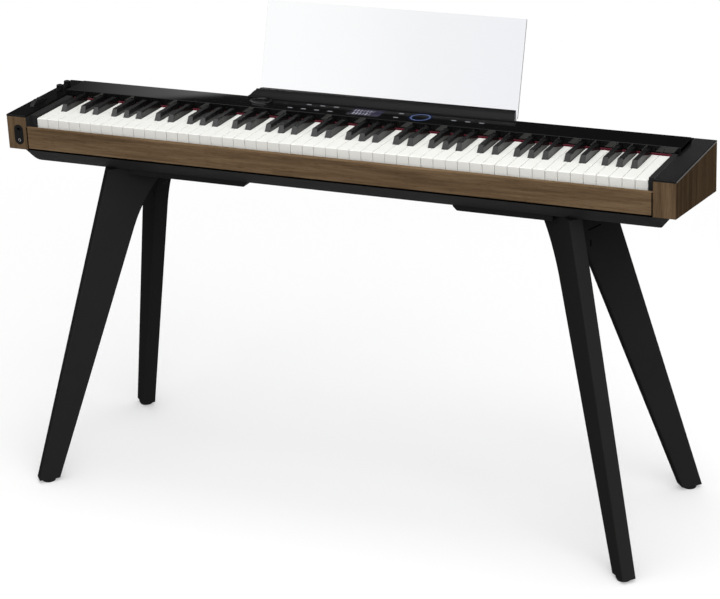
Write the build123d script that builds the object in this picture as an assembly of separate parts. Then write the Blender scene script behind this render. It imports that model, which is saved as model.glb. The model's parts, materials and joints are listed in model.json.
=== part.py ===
from build123d import *
import os
from math import cos, radians, sin, sqrt

# Digital piano on a four-legged stand. Millimetres, +Z up, origin on the floor under the middle.
# X runs along the keyboard from bass to treble, the player sits at -Y.

# Overall body
body_width = 1340.0
body_depth = 242.0
deck_height = 735.0
body_height = 102.0
panel_fit = 0.2

# Wooden cheeks at both ends, their black caps and the blocks beside the end keys
cheek_width = 42.0
end_block_width = 13.2
cheek_front_height = 69.0
cheek_rear_height = 97.0
cheek_wall = 6.0
cap_thickness = 4.0
cap_edge = 1.0

# Lower case: a tray with a raked chin in front
case_wall = 3.0
case_end_inset = 34.0
case_end_radius = 9.0
chin_setback = 3.0
chin_run = 38.0
end_wall_drop = 40.0

# Wooden key slip in front of the keys
slip_thickness = 9.0
slip_height = 45.5
slip_edge = 3.0

# Keys
white_count = 52
key_gap = 1.0
key_setback = 19.0
white_height = 21.5
white_drop = 9.5
white_nose = 0.8
black_rise = 13.0
black_length = 81.0
black_base_width = 12.6
black_top_width = 9.6
black_front_rake = 7.0
black_cap_sink = 2.0
black_stem_nose = 0.5
notch_gap = 1.2
tail_run = 63.0
tail_height = 13.0
tail_spacing = 4.0
key_dip_angle = 3.0

# Key pivot, hammers and their pivot
pivot_run = 54.5
rod_radius = 2.5
rod_clearance = 0.05
rod_overhang = 2.0
hammer_pivot_run = 62.0
hammer_pivot_drop = 25.0
hammer_lever = 26.0
hammer_front = 6.0
hammer_arm = 5.7
hammer_reach = 76.0
hammer_weight_length = 34.0
hammer_weight_drop = 19.0
hammer_width = 7.0
foot_depth = 4.0
touch_gap = 0.3

# Key frame that carries both pivot rods
frame_sheet = 2.5
rib_thickness = 2.4
rib_side_gap = 0.8
rib_rod_wall = 5.0
rib_front_inset = 40.0
foot_clear = 6.0
frame_front_inset = 6.0
frame_front_shelf = 10.0
frame_knee_z = 20.0
frame_toe_inset = 28.0
frame_shelf_lead = 14.0
frame_shelf_depth = 20.0
felt_thickness = 4.0

# Key contact board and main board
board_thickness = 1.6
contact_board_depth = 44.0
contact_board_drop = 20.6
dome_radius = 3.5
dome_height = 3.5
main_board_length = 140.0
main_board_depth = 56.0
spacer_radius = 3.0
spacer_height = 6.0

# Control panel, felt strip, display and touch ring
panel_rise = 7.0
panel_depth = 64.0
rear_deck_depth = 19.0
panel_thickness = 3.0
panel_step_run = 4.0
fascia_height = 12.0
felt_gap = 0.8
felt_front = 3.7
felt_height = 8.5
inlay_depth = 0.8
display_width = 66.0
display_depth = 44.0
display_x = 5.0
ring_x = 116.0
ring_radius = 21.0
ring_width = 3.5

# Music rest rail and the clear rest standing in it
rail_front_left = -258.0
rail_front_right = 293.0
rail_rear_left = -235.0
rail_rear_right = 287.0
rail_lap = 7.0
rail_rise = 14.0
rail_step = 3.2
rail_groove = 1.6
rest_left = -237.0
rest_right = 294.0
rest_thickness = 3.0
rest_height = 184.0
rest_lean = 18.0
rest_setback = 14.0
rest_base_rise = 1.0
rest_corner = 2.0
slot_clearance = 0.15

# Volume dial
dial_x = -216.0
dial_radius = 22.5
dial_skirt = 2.5
dial_height = 4.5
dial_grip_inset = 3.5
dial_float = 0.4
dial_edge = 0.8
shaft_radius = 3.0
shaft_clearance = 0.05
encoder_size = 14.0
encoder_height = 9.0

# Pitch wheel and two small knobs on the left cap
wheel_offset = 1.0
wheel_setback = 83.0
wheel_radius = 32.0
wheel_width = 9.0
wheel_show = 10.0
wheel_gap = 1.5
wheel_notch = 7.0
wheel_notch_depth = 2.5
axle_radius = 3.0
axle_seat = 3.0
knob_radius = 6.8
knob_height = 13.0
knob_float = 0.4
knob_edge = 0.8
knob_front_setback = 166.0
knob_rear_setback = 194.0
knob_shaft_radius = 2.0
pot_size = 12.0
pot_height = 8.0

# Headphone jacks on the left cheek
jack_plate_offset = 3.5
jack_plate_drop = 39.5
jack_plate_width = 20.0
jack_plate_height = 40.0
jack_plate_thickness = 3.0
jack_spacing = 22.0
jack_bore = 3.25
jack_collar = 4.6
jack_body = 6.0
jack_length = 30.0
jack_bore_depth = 27.0
jack_fit = 0.1

# Rear connectors
rear_panel_width = 132.0
rear_panel_height = 22.0
rear_panel_margin = 3.0
rear_panel_thickness = 3.0
rear_pitch = 25.0
rear_octave = 3
inlet_bore = 2.75
usb_width = 12.0
usb_height = 11.0
usb_mouth_width = 8.5
usb_mouth_height = 7.8
rear_socket_length = 23.0
rear_bore_depth = 20.0

# Speakers firing down through slots in the case floor
speaker_length = 110.0
speaker_width = 58.0
speaker_flange = 2.0
speaker_depth = 22.0
speaker_step = 9.0
magnet_radius = 17.0
magnet_height = 8.0
speaker_setback = 81.0
speaker_spread = 155.0
grille_slots = 5
grille_slot_width = 4.0
grille_slot_pitch = 9.0
grille_slot_length = 68.0
frame_speaker_gap = 2.0

# Stand
plate_thickness = 10.0
plate_depth = 160.0
plate_outer = 430.0
plate_gap = 0.5
plate_inner_left = -177.0
plate_inner_right = 239.0
plate_chamfer = 8.0
foot_height = 7.0
foot_radius = 15.0
leg_corner_x = 618.0
leg_corner_y = 213.0
leg_plane_angle = 42.0
leg_thickness = 27.0
leg_outer_lean = 0.304
leg_inner_lean = 0.378
leg_foot_width = 42.0
leg_arc_drop = 112.0
leg_head_width = 112.0
leg_head_lip = 8.0
leg_edge = 2.0
bolt_radius = 3.0
bolt_head_radius = 5.5
bolt_head_height = 3.5
bolt_clearance = 0.2
bolt_inner_inset = 24.0
bolt_outer_inset = 96.0
bolt_inset_y = 18.0

# Worked out from the sizes above
half_width = body_width / 2
cheek_inner = half_width - cheek_width
cheek_middle = half_width - cheek_width / 2
tray_half = cheek_inner - panel_fit
block_inner = tray_half - end_block_width
keyboard_half = block_inner - key_gap
white_pitch = 2 * keyboard_half / white_count
front_y = -body_depth / 2
rear_y = body_depth / 2
under_z = deck_height - body_height
floor_z = under_z + case_wall
cheek_top = deck_height - cap_thickness
cheek_front_z = deck_height - cheek_front_height
cheek_rear_z = deck_height - cheek_rear_height
case_half = half_width - case_end_inset
slip_back = front_y + slip_thickness
panel_top = deck_height + panel_rise

white_top = deck_height - white_drop
key_bottom = white_top - white_height
panel_rear = rear_y - rear_deck_depth
fascia_y = panel_rear - panel_depth
felt_front_y = fascia_y - felt_front
key_front = front_y + key_setback
key_rear = felt_front_y - felt_gap
tail_end = key_rear + tail_run
tail_top = key_bottom + tail_height
black_front = key_rear - black_length
black_top = white_top + black_rise
black_cap_base = white_top - black_cap_sink
pivot_y = key_rear + pivot_run
pivot_z = key_bottom
seat_radius = rod_radius + rod_clearance

hammer_y = pivot_y - hammer_pivot_run
hammer_z = pivot_z - hammer_pivot_drop
hammer_top = hammer_z + hammer_arm
hammer_rest_z = hammer_z - hammer_weight_drop
hammer_end = hammer_y + hammer_reach
hammer_tip = hammer_y - hammer_lever - hammer_front
foot_rear = hammer_y - hammer_lever
foot_front = foot_rear - foot_depth
foot_bottom = hammer_top + touch_gap

frame_top = floor_z + frame_sheet
frame_front_y = key_front + frame_front_inset
frame_toe_y = key_front + frame_toe_inset
rib_front_y = key_front + rib_front_inset
frame_shelf_y = pivot_y - frame_shelf_lead
board_seat = key_bottom - contact_board_drop
stop_lever = pivot_y - frame_front_y
stop_top = key_bottom - stop_lever * sin(radians(key_dip_angle)) - touch_gap
front_shelf_z = stop_top - felt_thickness
rest_felt_top = hammer_rest_z - touch_gap
rear_shelf_z = rest_felt_top - felt_thickness
rod_half = keyboard_half + rib_side_gap + rib_thickness + rod_overhang

fascia_bottom = panel_top - fascia_height
control_row_y = fascia_y + panel_depth / 2
rail_front_y = panel_rear - rail_lap
rest_base_y = rail_front_y + rest_setback
wheel_x = -cheek_middle - wheel_offset
wheel_y = front_y + wheel_setback
wheel_z = deck_height + wheel_show - wheel_radius
knob_front_y = front_y + knob_front_setback
knob_rear_y = front_y + knob_rear_setback
speaker_y = front_y + speaker_setback
leg_top = under_z - plate_thickness
leg_arc_start = leg_top - leg_arc_drop
plate_front_y = -plate_depth / 2
jack_plate_x = -cheek_middle + jack_plate_offset
jack_plate_z = deck_height - jack_plate_drop
rest_base_z = panel_top + rest_base_rise

# One octave: semitones that are white keys and the names of all twelve notes
white_steps = [0, 2, 4, 5, 7, 9, 11]
note_names = ["c", "c_sharp", "d", "d_sharp", "e", "f", "f_sharp", "g", "g_sharp", "a", "a_sharp", "b"]
whites_before_c = 2
first_octave = -1
last_octave = 7
octaves = range(first_octave, last_octave + 1)
lower_slots = 5
lower_whites = 3


def outline(points):
    """Closed flat face through the given points."""
    return make_face(Polyline(*points, close=True))


def along_x(face, x_low, x_high):
    """Carry a face drawn in Y and Z from one X to another."""
    return extrude(Plane.YZ.offset(x_low) * face, amount=x_high - x_low)


def along_z(face, z_low, z_high):
    """Carry a face drawn in X and Y from one height to another."""
    return extrude(Plane.XY.offset(z_low) * face, amount=z_high - z_low)


def block(x, y, z):
    """Box between two limits on each axis."""
    size = [high - low for low, high in (x, y, z)]
    middle = [(high + low) / 2 for low, high in (x, y, z)]
    return Pos(*middle) * Box(*size)


def post(x, y, z_low, z_high, radius):
    """Upright round post."""
    return Pos(x, y, (z_low + z_high) / 2) * Cylinder(radius, z_high - z_low)


def cross_pin(x_low, x_high, y, z, radius):
    """Round pin along X."""
    return Pos((x_low + x_high) / 2, y, z) * Rot(0, 90, 0) * Cylinder(radius, x_high - x_low)


def front_pin(x, z, y_low, y_high, radius):
    """Round pin along Y."""
    return Pos(x, (y_low + y_high) / 2, z) * Rot(90, 0, 0) * Cylinder(radius, y_high - y_low)


def save(name, solids):
    """Write one node, as one solid or a group of separate solids."""
    pieces = []
    for item in solids:
        pieces.extend(item.solids())
    export_step(Compound(children=pieces), f"parts/{name}.step")


def octave_start(octave):
    """X of the left edge of an octave's C."""
    return -keyboard_half + (whites_before_c + len(white_steps) * octave) * white_pitch


def slot_edges(octave, step):
    """Left and right X of the even slot that a semitone's tail and hammer sit in."""
    start = octave_start(octave)
    lower_width = lower_whites * white_pitch
    upper_width = (len(white_steps) - lower_whites) * white_pitch
    if step < lower_slots:
        width = lower_width / lower_slots
        left = start + step * width
    else:
        width = upper_width / (len(note_names) - lower_slots)
        left = start + lower_width + (step - lower_slots) * width
    return left, left + width


def key_side(front, top, nose):
    """Side view of a key: front, top, tail behind the fascia, hammer foot and the seat on its rod."""
    points = [
        (front, key_bottom),
        (front, top - nose),
        (front + nose, top),
        (key_rear, top),
        (key_rear, tail_top),
        (tail_end, tail_top),
        (tail_end, key_bottom),
        (foot_rear, key_bottom),
        (foot_rear, foot_bottom),
        (foot_front, foot_bottom),
        (foot_front, key_bottom),
    ]
    return outline(points) - Pos(pivot_y, pivot_z) * Circle(seat_radius)


def white_key(octave, place):
    """White key cut back beside its black neighbours."""
    step = white_steps[place]
    left = octave_start(octave) + place * white_pitch + key_gap / 2
    right = left + white_pitch - key_gap
    slot_left, slot_right = slot_edges(octave, step)
    is_first = left < -keyboard_half + white_pitch
    is_last = right > keyboard_half - white_pitch
    neck_left = left if is_first else max(left, slot_left)
    neck_right = right if is_last else min(right, slot_right)
    tail_left = slot_left + tail_spacing / 2
    tail_right = slot_right - tail_spacing / 2
    notch = black_front - notch_gap
    points = [(left, key_front), (right, key_front)]
    if neck_right < right:
        points += [(right, notch), (neck_right, notch)]
    points += [(neck_right, key_rear), (tail_right, key_rear), (tail_right, tail_end)]
    points += [(tail_left, tail_end), (tail_left, key_rear), (neck_left, key_rear)]
    if neck_left > left:
        points += [(neck_left, notch), (left, notch)]
    side = along_x(key_side(key_front, white_top, white_nose), left, right)
    return along_z(outline(points), foot_bottom, white_top) & side


def black_key(octave, step):
    """Black key: a straight stem between the white keys and a tapering, raked cap."""
    slot_left, slot_right = slot_edges(octave, step)
    middle = (slot_left + slot_right) / 2
    half_base = black_base_width / 2
    half_tail = (slot_right - slot_left - tail_spacing) / 2
    plan = outline([
        (middle - half_base, black_front), (middle + half_base, black_front),
        (middle + half_base, key_rear), (middle + half_tail, key_rear),
        (middle + half_tail, tail_end), (middle - half_tail, tail_end),
        (middle - half_tail, key_rear), (middle - half_base, key_rear),
    ])
    side = key_side(black_front, black_cap_base, black_stem_nose)
    stem = along_z(plan, foot_bottom, black_cap_base) & along_x(side, slot_left, slot_right)
    base_length = key_rear - black_front
    top_length = base_length - black_front_rake
    base_place = Pos(middle, (black_front + key_rear) / 2, black_cap_base)
    top_place = Pos(middle, key_rear - top_length / 2, black_top)
    base = base_place * Rectangle(black_base_width, base_length)
    top = top_place * Rectangle(black_top_width, top_length)
    return stem + loft([base, top])


def hammer(octave, step):
    """Weighted hammer hanging on its rod under one key."""
    slot_left, slot_right = slot_edges(octave, step)
    middle = (slot_left + slot_right) / 2
    weight_front = hammer_end - hammer_weight_length
    side = outline([
        (hammer_tip, hammer_z), (hammer_tip, hammer_top), (hammer_end, hammer_top),
        (hammer_end, hammer_rest_z), (weight_front, hammer_rest_z),
        (weight_front - hammer_weight_drop / 2, hammer_z),
    ]) - Pos(hammer_y, hammer_z) * Circle(seat_radius)
    return along_x(side, middle - hammer_width / 2, middle + hammer_width / 2)


def keys_of(step):
    """All keys and hammers of one note name along the keyboard."""
    keys = []
    hammers = []
    for octave in octaves:
        slot_left, slot_right = slot_edges(octave, step)
        if slot_left < -keyboard_half or slot_right > keyboard_half:
            continue
        if step in white_steps:
            keys.append(white_key(octave, white_steps.index(step)))
        else:
            keys.append(black_key(octave, step))
        hammers.append(hammer(octave, step))
    return keys, hammers


def cheek_side(wall):
    """Side outline of a cheek, drawn in by a wall on all sides but the top."""
    return outline([
        (front_y + wall, cheek_top + wall), (rear_y - wall, cheek_top + wall),
        (rear_y - wall, cheek_rear_z + wall), (front_y + wall, cheek_front_z + wall),
    ])


def cheek(sign):
    """Hollow wooden end block, open at the top under its cap."""
    low, high = sorted((sign * cheek_inner, sign * half_width))
    outer = along_x(cheek_side(0), low, high)
    return outer - along_x(cheek_side(cheek_wall), low + cheek_wall, high - cheek_wall)


def cheek_cap(sign):
    """Flat black cap over a cheek with softened top edges."""
    low, high = sorted((sign * cheek_inner, sign * half_width))
    cap = block((low, high), (front_y, rear_y), (cheek_top, deck_height))
    return chamfer(cap.faces().sort_by(Axis.Z)[-1].edges(), cap_edge)


def jack_heights():
    """Heights of the two headphone jacks."""
    return [jack_plate_z + jack_spacing / 2, jack_plate_z - jack_spacing / 2]


def make_left_end():
    """Left cheek with its headphone plate, pitch wheel, knobs and their mounts."""
    plate_outline = SlotOverall(jack_plate_height, jack_plate_width, rotation=90)
    place = Plane.XZ.offset(-front_y) * Pos(jack_plate_x, jack_plate_z)
    recess = extrude(place * plate_outline, amount=-jack_plate_thickness)
    left = cheek(-1) - recess
    plate = recess
    jacks = []
    for height in jack_heights():
        collar = front_pin(jack_plate_x, height, front_y, front_y + cheek_wall, jack_collar)
        body = front_pin(jack_plate_x, height, front_y + cheek_wall, front_y + jack_length, jack_body)
        bore = front_pin(jack_plate_x, height, front_y, front_y + jack_bore_depth, jack_bore)
        hole = front_pin(jack_plate_x, height, front_y, front_y + cheek_wall, jack_collar + jack_fit)
        left -= hole
        plate -= hole
        jacks.append(collar + body - bore)
    save("jack_plate", [plate])
    save("headphone_jacks", jacks)

    axle_low = -half_width + cheek_wall - axle_seat
    axle_high = -cheek_inner - cheek_wall + axle_seat
    axle = cross_pin(axle_low, axle_high, wheel_y, wheel_z, axle_radius)
    left -= cross_pin(axle_low, axle_high, wheel_y, wheel_z, axle_radius + rod_clearance)
    save("wheel_axle", [axle])
    save("left_cheek", [left])

    wheel_low = wheel_x - wheel_width / 2
    wheel_high = wheel_x + wheel_width / 2
    wheel = cross_pin(wheel_low, wheel_high, wheel_y, wheel_z, wheel_radius)
    notch_z = wheel_z + wheel_radius + wheel_notch - wheel_notch_depth
    wheel -= cross_pin(wheel_low, wheel_high, wheel_y, notch_z, wheel_notch)
    wheel -= cross_pin(wheel_low, wheel_high, wheel_y, wheel_z, axle_radius + rod_clearance)
    save("pitch_wheel", [wheel])

    cap = cheek_cap(-1)
    half_chord = sqrt(wheel_radius ** 2 - (cheek_top - wheel_z) ** 2) + wheel_gap
    cap -= block(
        (wheel_low - wheel_gap, wheel_high + wheel_gap),
        (wheel_y - half_chord, wheel_y + half_chord),
        (cheek_top, deck_height),
    )
    pots = []
    for name, y in (("front_knob", knob_front_y), ("rear_knob", knob_rear_y)):
        hole_radius = knob_shaft_radius + shaft_clearance
        cap -= post(wheel_x, y, cheek_top, deck_height, hole_radius)
        knob_base = deck_height + knob_float
        knob = post(wheel_x, y, knob_base, deck_height + knob_height, knob_radius)
        knob = chamfer(knob.faces().sort_by(Axis.Z)[-1].edges(), knob_edge)
        shaft_end = cheek_top - pot_height
        knob += post(wheel_x, y, shaft_end, knob_base, knob_shaft_radius)
        save(name, [knob])
        half_pot = pot_size / 2
        pot = block(
            (wheel_x - half_pot, wheel_x + half_pot),
            (y - half_pot, y + half_pot),
            (shaft_end, cheek_top),
        )
        pots.append(pot - post(wheel_x, y, shaft_end, cheek_top, hole_radius))
    save("left_cheek_cap", [cap])
    return pots


def make_right_end():
    """Right cheek and its plain cap."""
    save("right_cheek", [cheek(1)])
    save("right_cheek_cap", [cheek_cap(1)])


def bolt_places():
    """Plan positions of the bolts that hold the stand plates to the case."""
    places = []
    for inner, outer, sign in ((plate_inner_left, -plate_outer, 1), (plate_inner_right, plate_outer, -1)):
        for x in (inner - sign * bolt_inner_inset, outer + sign * bolt_outer_inset):
            for y in (plate_front_y + bolt_inset_y, -plate_front_y - bolt_inset_y):
                places.append((x, y))
    return places


def rear_middle():
    """X of the middle of the rear connector panel, between two ribs of the frame."""
    return octave_start(rear_octave) + len(white_steps) * white_pitch / 2


def speaker_middles():
    """X of the two loudspeakers, to each side of the main board."""
    return [rear_middle() - speaker_spread, rear_middle() + speaker_spread]


def rear_panel_window(gap):
    """Space of the rear connector panel in the back wall, wider by a gap all round."""
    z_low = floor_z + rear_panel_margin - gap
    half = rear_panel_width / 2 + gap
    z_high = floor_z + rear_panel_margin + rear_panel_height + gap
    return block(
        (rear_middle() - half, rear_middle() + half),
        (rear_y - case_wall, rear_y),
        (z_low, z_high),
    )


def make_case():
    """Lower case: raked chin, floor, front and back walls, and ends tucked under the cheeks."""
    chin_front = front_y + chin_setback
    outer_side = outline([
        (chin_front, cheek_front_z), (chin_front + chin_run, under_z),
        (rear_y, under_z), (rear_y, deck_height - panel_thickness),
        (slip_back, deck_height - panel_thickness), (slip_back, cheek_front_z),
    ])
    case = along_x(outer_side, -case_half, case_half)
    low_edges = case.edges().filter_by(Axis.Y).sort_by(Axis.Z)[:2]
    case = fillet(low_edges, case_end_radius)
    inner_side = outline([
        (slip_back + case_wall, deck_height), (slip_back + case_wall, cheek_front_z),
        (chin_front + chin_run + case_wall / 2, floor_z),
        (rear_y - case_wall, floor_z), (rear_y - case_wall, deck_height),
    ])
    case -= along_x(inner_side, -tray_half + case_wall, tray_half - case_wall)
    cheek_space = outline([
        (front_y, deck_height), (rear_y, deck_height), (rear_y, cheek_rear_z), (front_y, cheek_front_z),
    ])
    case -= along_x(cheek_space, tray_half, half_width)
    case -= along_x(cheek_space, -half_width, -tray_half)
    wall_top = deck_height - end_wall_drop
    case -= block((-half_width, half_width), (front_y, rear_y - case_wall), (wall_top, deck_height))
    case -= rear_panel_window(panel_fit)
    for middle in speaker_middles():
        for slot in range(grille_slots):
            y = speaker_y + (slot - (grille_slots - 1) / 2) * grille_slot_pitch
            case -= block(
                (middle - grille_slot_length / 2, middle + grille_slot_length / 2),
                (y - grille_slot_width / 2, y + grille_slot_width / 2),
                (under_z, floor_z),
            )
    for x, y in bolt_places():
        case -= post(x, y, under_z, floor_z, bolt_radius + bolt_clearance)
    save("bottom_case", [case])


def make_key_slip():
    """Wooden board in front of the keys with a rounded top front edge."""
    slip_top = cheek_front_z + slip_height
    slip = block((-tray_half, tray_half), (front_y, slip_back), (cheek_front_z, slip_top))
    top_edges = slip.edges().filter_by(Axis.X).sort_by(Axis.Z)[-2:]
    save("key_slip", [fillet(top_edges, slip_edge)])


def make_key_blocks():
    """Black blocks that fill the space between the end keys and the cheeks."""
    z_low = deck_height - end_wall_drop
    blocks = []
    for sign in (-1, 1):
        x = sorted((sign * block_inner, sign * tray_half))
        blocks.append(block(x, (key_front, felt_front_y - felt_gap), (z_low, cheek_top)))
    save("key_blocks", blocks)


def rib_positions():
    """X of each frame rib: at every octave's C, and outside both end keys."""
    end = keyboard_half + rib_side_gap + rib_thickness / 2
    inner = [octave_start(octave) for octave in octaves if octave >= 0]
    return [-end] + inner + [end]


def make_frame():
    """Key frame folded from sheet, with ribs that carry the two pivot rods."""
    knee_z = floor_z + frame_knee_z
    front_y_in = frame_front_y + frame_sheet
    toe_in = frame_toe_y + frame_sheet / 2
    shelf_rear = frame_shelf_y + frame_shelf_depth
    side = outline([
        (frame_shelf_y + frame_sheet, floor_z), (frame_toe_y, floor_z), (frame_front_y, knee_z),
        (frame_front_y, front_shelf_z), (frame_front_y + frame_front_shelf, front_shelf_z),
        (frame_front_y + frame_front_shelf, front_shelf_z - frame_sheet),
        (front_y_in, front_shelf_z - frame_sheet), (front_y_in, knee_z + frame_sheet / 2),
        (toe_in, frame_top), (frame_shelf_y, frame_top), (frame_shelf_y, rear_shelf_z),
        (shelf_rear, rear_shelf_z), (shelf_rear, rear_shelf_z - frame_sheet),
        (frame_shelf_y + frame_sheet, rear_shelf_z - frame_sheet),
    ])
    end = keyboard_half + rib_side_gap + rib_thickness
    frame = along_x(side, -end, end)
    board_rear = rib_front_y + contact_board_depth
    dip = foot_bottom - foot_clear - touch_gap
    rib_side = outline([
        (rib_front_y, floor_z), (rib_front_y, board_seat), (board_rear, board_seat),
        (foot_front - foot_clear, dip), (foot_rear + foot_clear, dip),
        (hammer_y - rib_rod_wall - rod_radius, hammer_z + rib_rod_wall),
        (hammer_y + rib_rod_wall + rod_radius, hammer_z + rib_rod_wall),
        (pivot_y - rib_rod_wall - rod_radius, pivot_z + rib_rod_wall),
        (pivot_y + rib_rod_wall + rod_radius, pivot_z + rib_rod_wall),
        (pivot_y + rib_rod_wall + rod_radius, rear_shelf_z), (frame_shelf_y, rear_shelf_z),
        (frame_shelf_y, floor_z),
    ])
    for x in rib_positions():
        frame += along_x(rib_side, x - rib_thickness / 2, x + rib_thickness / 2)
    key_rod = cross_pin(-rod_half, rod_half, pivot_y, pivot_z, rod_radius)
    hammer_rod = cross_pin(-rod_half, rod_half, hammer_y, hammer_z, rod_radius)
    for y, z in ((pivot_y, pivot_z), (hammer_y, hammer_z)):
        frame -= cross_pin(-rod_half, rod_half, y, z, seat_radius)
    for middle in speaker_middles():
        opening = 2 * frame_speaker_gap
        window = SlotOverall(speaker_length + opening, speaker_width + opening)
        frame -= along_z(Pos(middle, speaker_y) * window, floor_z, frame_top)
    save("key_frame", [frame])
    save("pivot_rods", [key_rod, hammer_rod])
    shelf_y = (frame_front_y, frame_front_y + frame_front_shelf)
    key_felt = block((-end, end), shelf_y, (front_shelf_z, stop_top))
    ribs = rib_positions()
    rest_felts = []
    for left, right in zip(ribs[:-1], ribs[1:]):
        x = (left + rib_thickness / 2, right - rib_thickness / 2)
        rest_felts.append(block(x, (frame_shelf_y, shelf_rear), (rear_shelf_z, rest_felt_top)))
    save("stop_felts", [key_felt] + rest_felts)


def make_boards():
    """Key contact board on the ribs and main board on spacers over the frame."""
    end = keyboard_half + rib_side_gap + rib_thickness
    board_rear = rib_front_y + contact_board_depth
    board = block((-end, end), (rib_front_y, board_rear), (board_seat, board_seat + board_thickness))
    dome_y = (rib_front_y + board_rear) / 2
    strip = block(
        (-keyboard_half, keyboard_half),
        (dome_y - dome_radius, dome_y + dome_radius),
        (board_seat + board_thickness, board_seat + board_thickness + dome_height),
    )
    save("contact_board", [board, strip])
    middle = rear_middle()
    z = frame_top + spacer_height
    y_middle = speaker_y
    x_half = main_board_length / 2
    y_half = main_board_depth / 2
    main = block(
        (middle - x_half, middle + x_half),
        (y_middle - y_half, y_middle + y_half),
        (z, z + board_thickness),
    )
    for x in (middle - x_half + 2 * spacer_radius, middle + x_half - 2 * spacer_radius):
        for y in (y_middle - y_half + 2 * spacer_radius, y_middle + y_half - 2 * spacer_radius):
            main += post(x, y, frame_top, z, spacer_radius)
    save("main_board", [main])


def make_speakers():
    """Oval loudspeakers standing on the case floor, cone side down."""
    speakers = []
    for middle in speaker_middles():
        place = Pos(middle, speaker_y)
        oval = SlotOverall(speaker_length, speaker_width)
        flange = along_z(place * oval, floor_z, floor_z + speaker_flange)
        inner_oval = SlotOverall(speaker_length - 2 * speaker_step, speaker_width - 2 * speaker_step)
        basket = along_z(place * inner_oval, floor_z + speaker_flange, floor_z + speaker_depth)
        magnet_top = floor_z + speaker_depth + magnet_height
        magnet = post(middle, speaker_y, floor_z + speaker_depth, magnet_top, magnet_radius)
        speakers.append(flange + basket + magnet)
    save("speakers", speakers)


def make_rear_connectors():
    """Connector panel in the back wall: two line jacks, a pedal jack, a power inlet and a data socket."""
    panel = rear_panel_window(0)
    z = floor_z + rear_panel_margin + rear_panel_height / 2
    sockets = []
    bores = [jack_bore, jack_bore, jack_bore, inlet_bore]
    for place, bore in enumerate(bores):
        x = rear_middle() + (place - len(bores) / 2) * rear_pitch
        body = front_pin(x, z, rear_y - rear_socket_length, rear_y, jack_body)
        panel -= front_pin(x, z, rear_y - rear_panel_thickness, rear_y, jack_body + jack_fit)
        sockets.append(body - front_pin(x, z, rear_y - rear_bore_depth, rear_y, bore))
    x = rear_middle() + len(bores) / 2 * rear_pitch
    half_width_usb = usb_width / 2
    half_height_usb = usb_height / 2
    shell = block(
        (x - half_width_usb, x + half_width_usb),
        (rear_y - rear_socket_length, rear_y),
        (z - half_height_usb, z + half_height_usb),
    )
    panel -= block(
        (x - half_width_usb - jack_fit, x + half_width_usb + jack_fit),
        (rear_y - rear_panel_thickness, rear_y),
        (z - half_height_usb - jack_fit, z + half_height_usb + jack_fit),
    )
    shell -= block(
        (x - usb_mouth_width / 2, x + usb_mouth_width / 2),
        (rear_y - rear_bore_depth, rear_y),
        (z - usb_mouth_height / 2, z + usb_mouth_height / 2),
    )
    save("rear_jack_panel", [panel])
    save("rear_sockets", sockets + [shell])


def panel_side():
    """Side view of the control panel: fascia, flat top and the step down to the back edge."""
    t = panel_thickness
    step_y = panel_rear + panel_step_run
    return outline([
        (fascia_y, fascia_bottom), (fascia_y, panel_top), (panel_rear, panel_top),
        (step_y, deck_height), (rear_y, deck_height), (rear_y, deck_height - t),
        (step_y - t, deck_height - t), (panel_rear - t, panel_top - t),
        (fascia_y + t, panel_top - t), (fascia_y + t, fascia_bottom),
    ])


def make_panel():
    """Glossy control panel with its felt strip, display, touch ring and volume dial."""
    panel = along_x(panel_side(), -tray_half, tray_half)
    display = block(
        (display_x - display_width / 2, display_x + display_width / 2),
        (control_row_y - display_depth / 2, control_row_y + display_depth / 2),
        (panel_top - inlay_depth, panel_top),
    )
    ring_face = Circle(ring_radius) - Circle(ring_radius - ring_width)
    ring = along_z(Pos(ring_x, control_row_y) * ring_face, panel_top - inlay_depth, panel_top)
    panel -= display
    panel -= ring
    hole_radius = shaft_radius + shaft_clearance
    panel -= post(dial_x, control_row_y, panel_top - panel_thickness, panel_top, hole_radius)
    save("control_panel", [panel])
    save("display_window", [display])
    save("touch_ring", [ring])
    felt = block(
        (-keyboard_half, keyboard_half),
        (felt_front_y, fascia_y + panel_thickness),
        (fascia_bottom - felt_height, fascia_bottom),
    )
    save("name_felt", [felt])

    skirt_bottom = panel_top + dial_float
    dial_top = panel_top + dial_height
    grip_radius = dial_radius - dial_grip_inset
    dial = post(dial_x, control_row_y, skirt_bottom, skirt_bottom + dial_skirt, dial_radius)
    dial += post(dial_x, control_row_y, skirt_bottom + dial_skirt, dial_top, grip_radius)
    dial = chamfer(dial.faces().sort_by(Axis.Z)[-1].edges(), dial_edge)
    body_top = panel_top - panel_thickness
    body_low = body_top - encoder_height
    dial += post(dial_x, control_row_y, body_low, skirt_bottom, shaft_radius)
    save("volume_dial", [dial])
    half = encoder_size / 2
    encoder = block(
        (dial_x - half, dial_x + half),
        (control_row_y - half, control_row_y + half),
        (body_low, body_top),
    )
    return encoder - post(dial_x, control_row_y, body_low, body_top, hole_radius)


def rest_point(along, across):
    """Point in Y and Z on the leaning rest: distance up its face and distance through it."""
    lean = radians(rest_lean)
    y = rest_base_y + along * sin(lean) + across * cos(lean)
    z = rest_base_z + along * cos(lean) - across * sin(lean)
    return y, z


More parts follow.
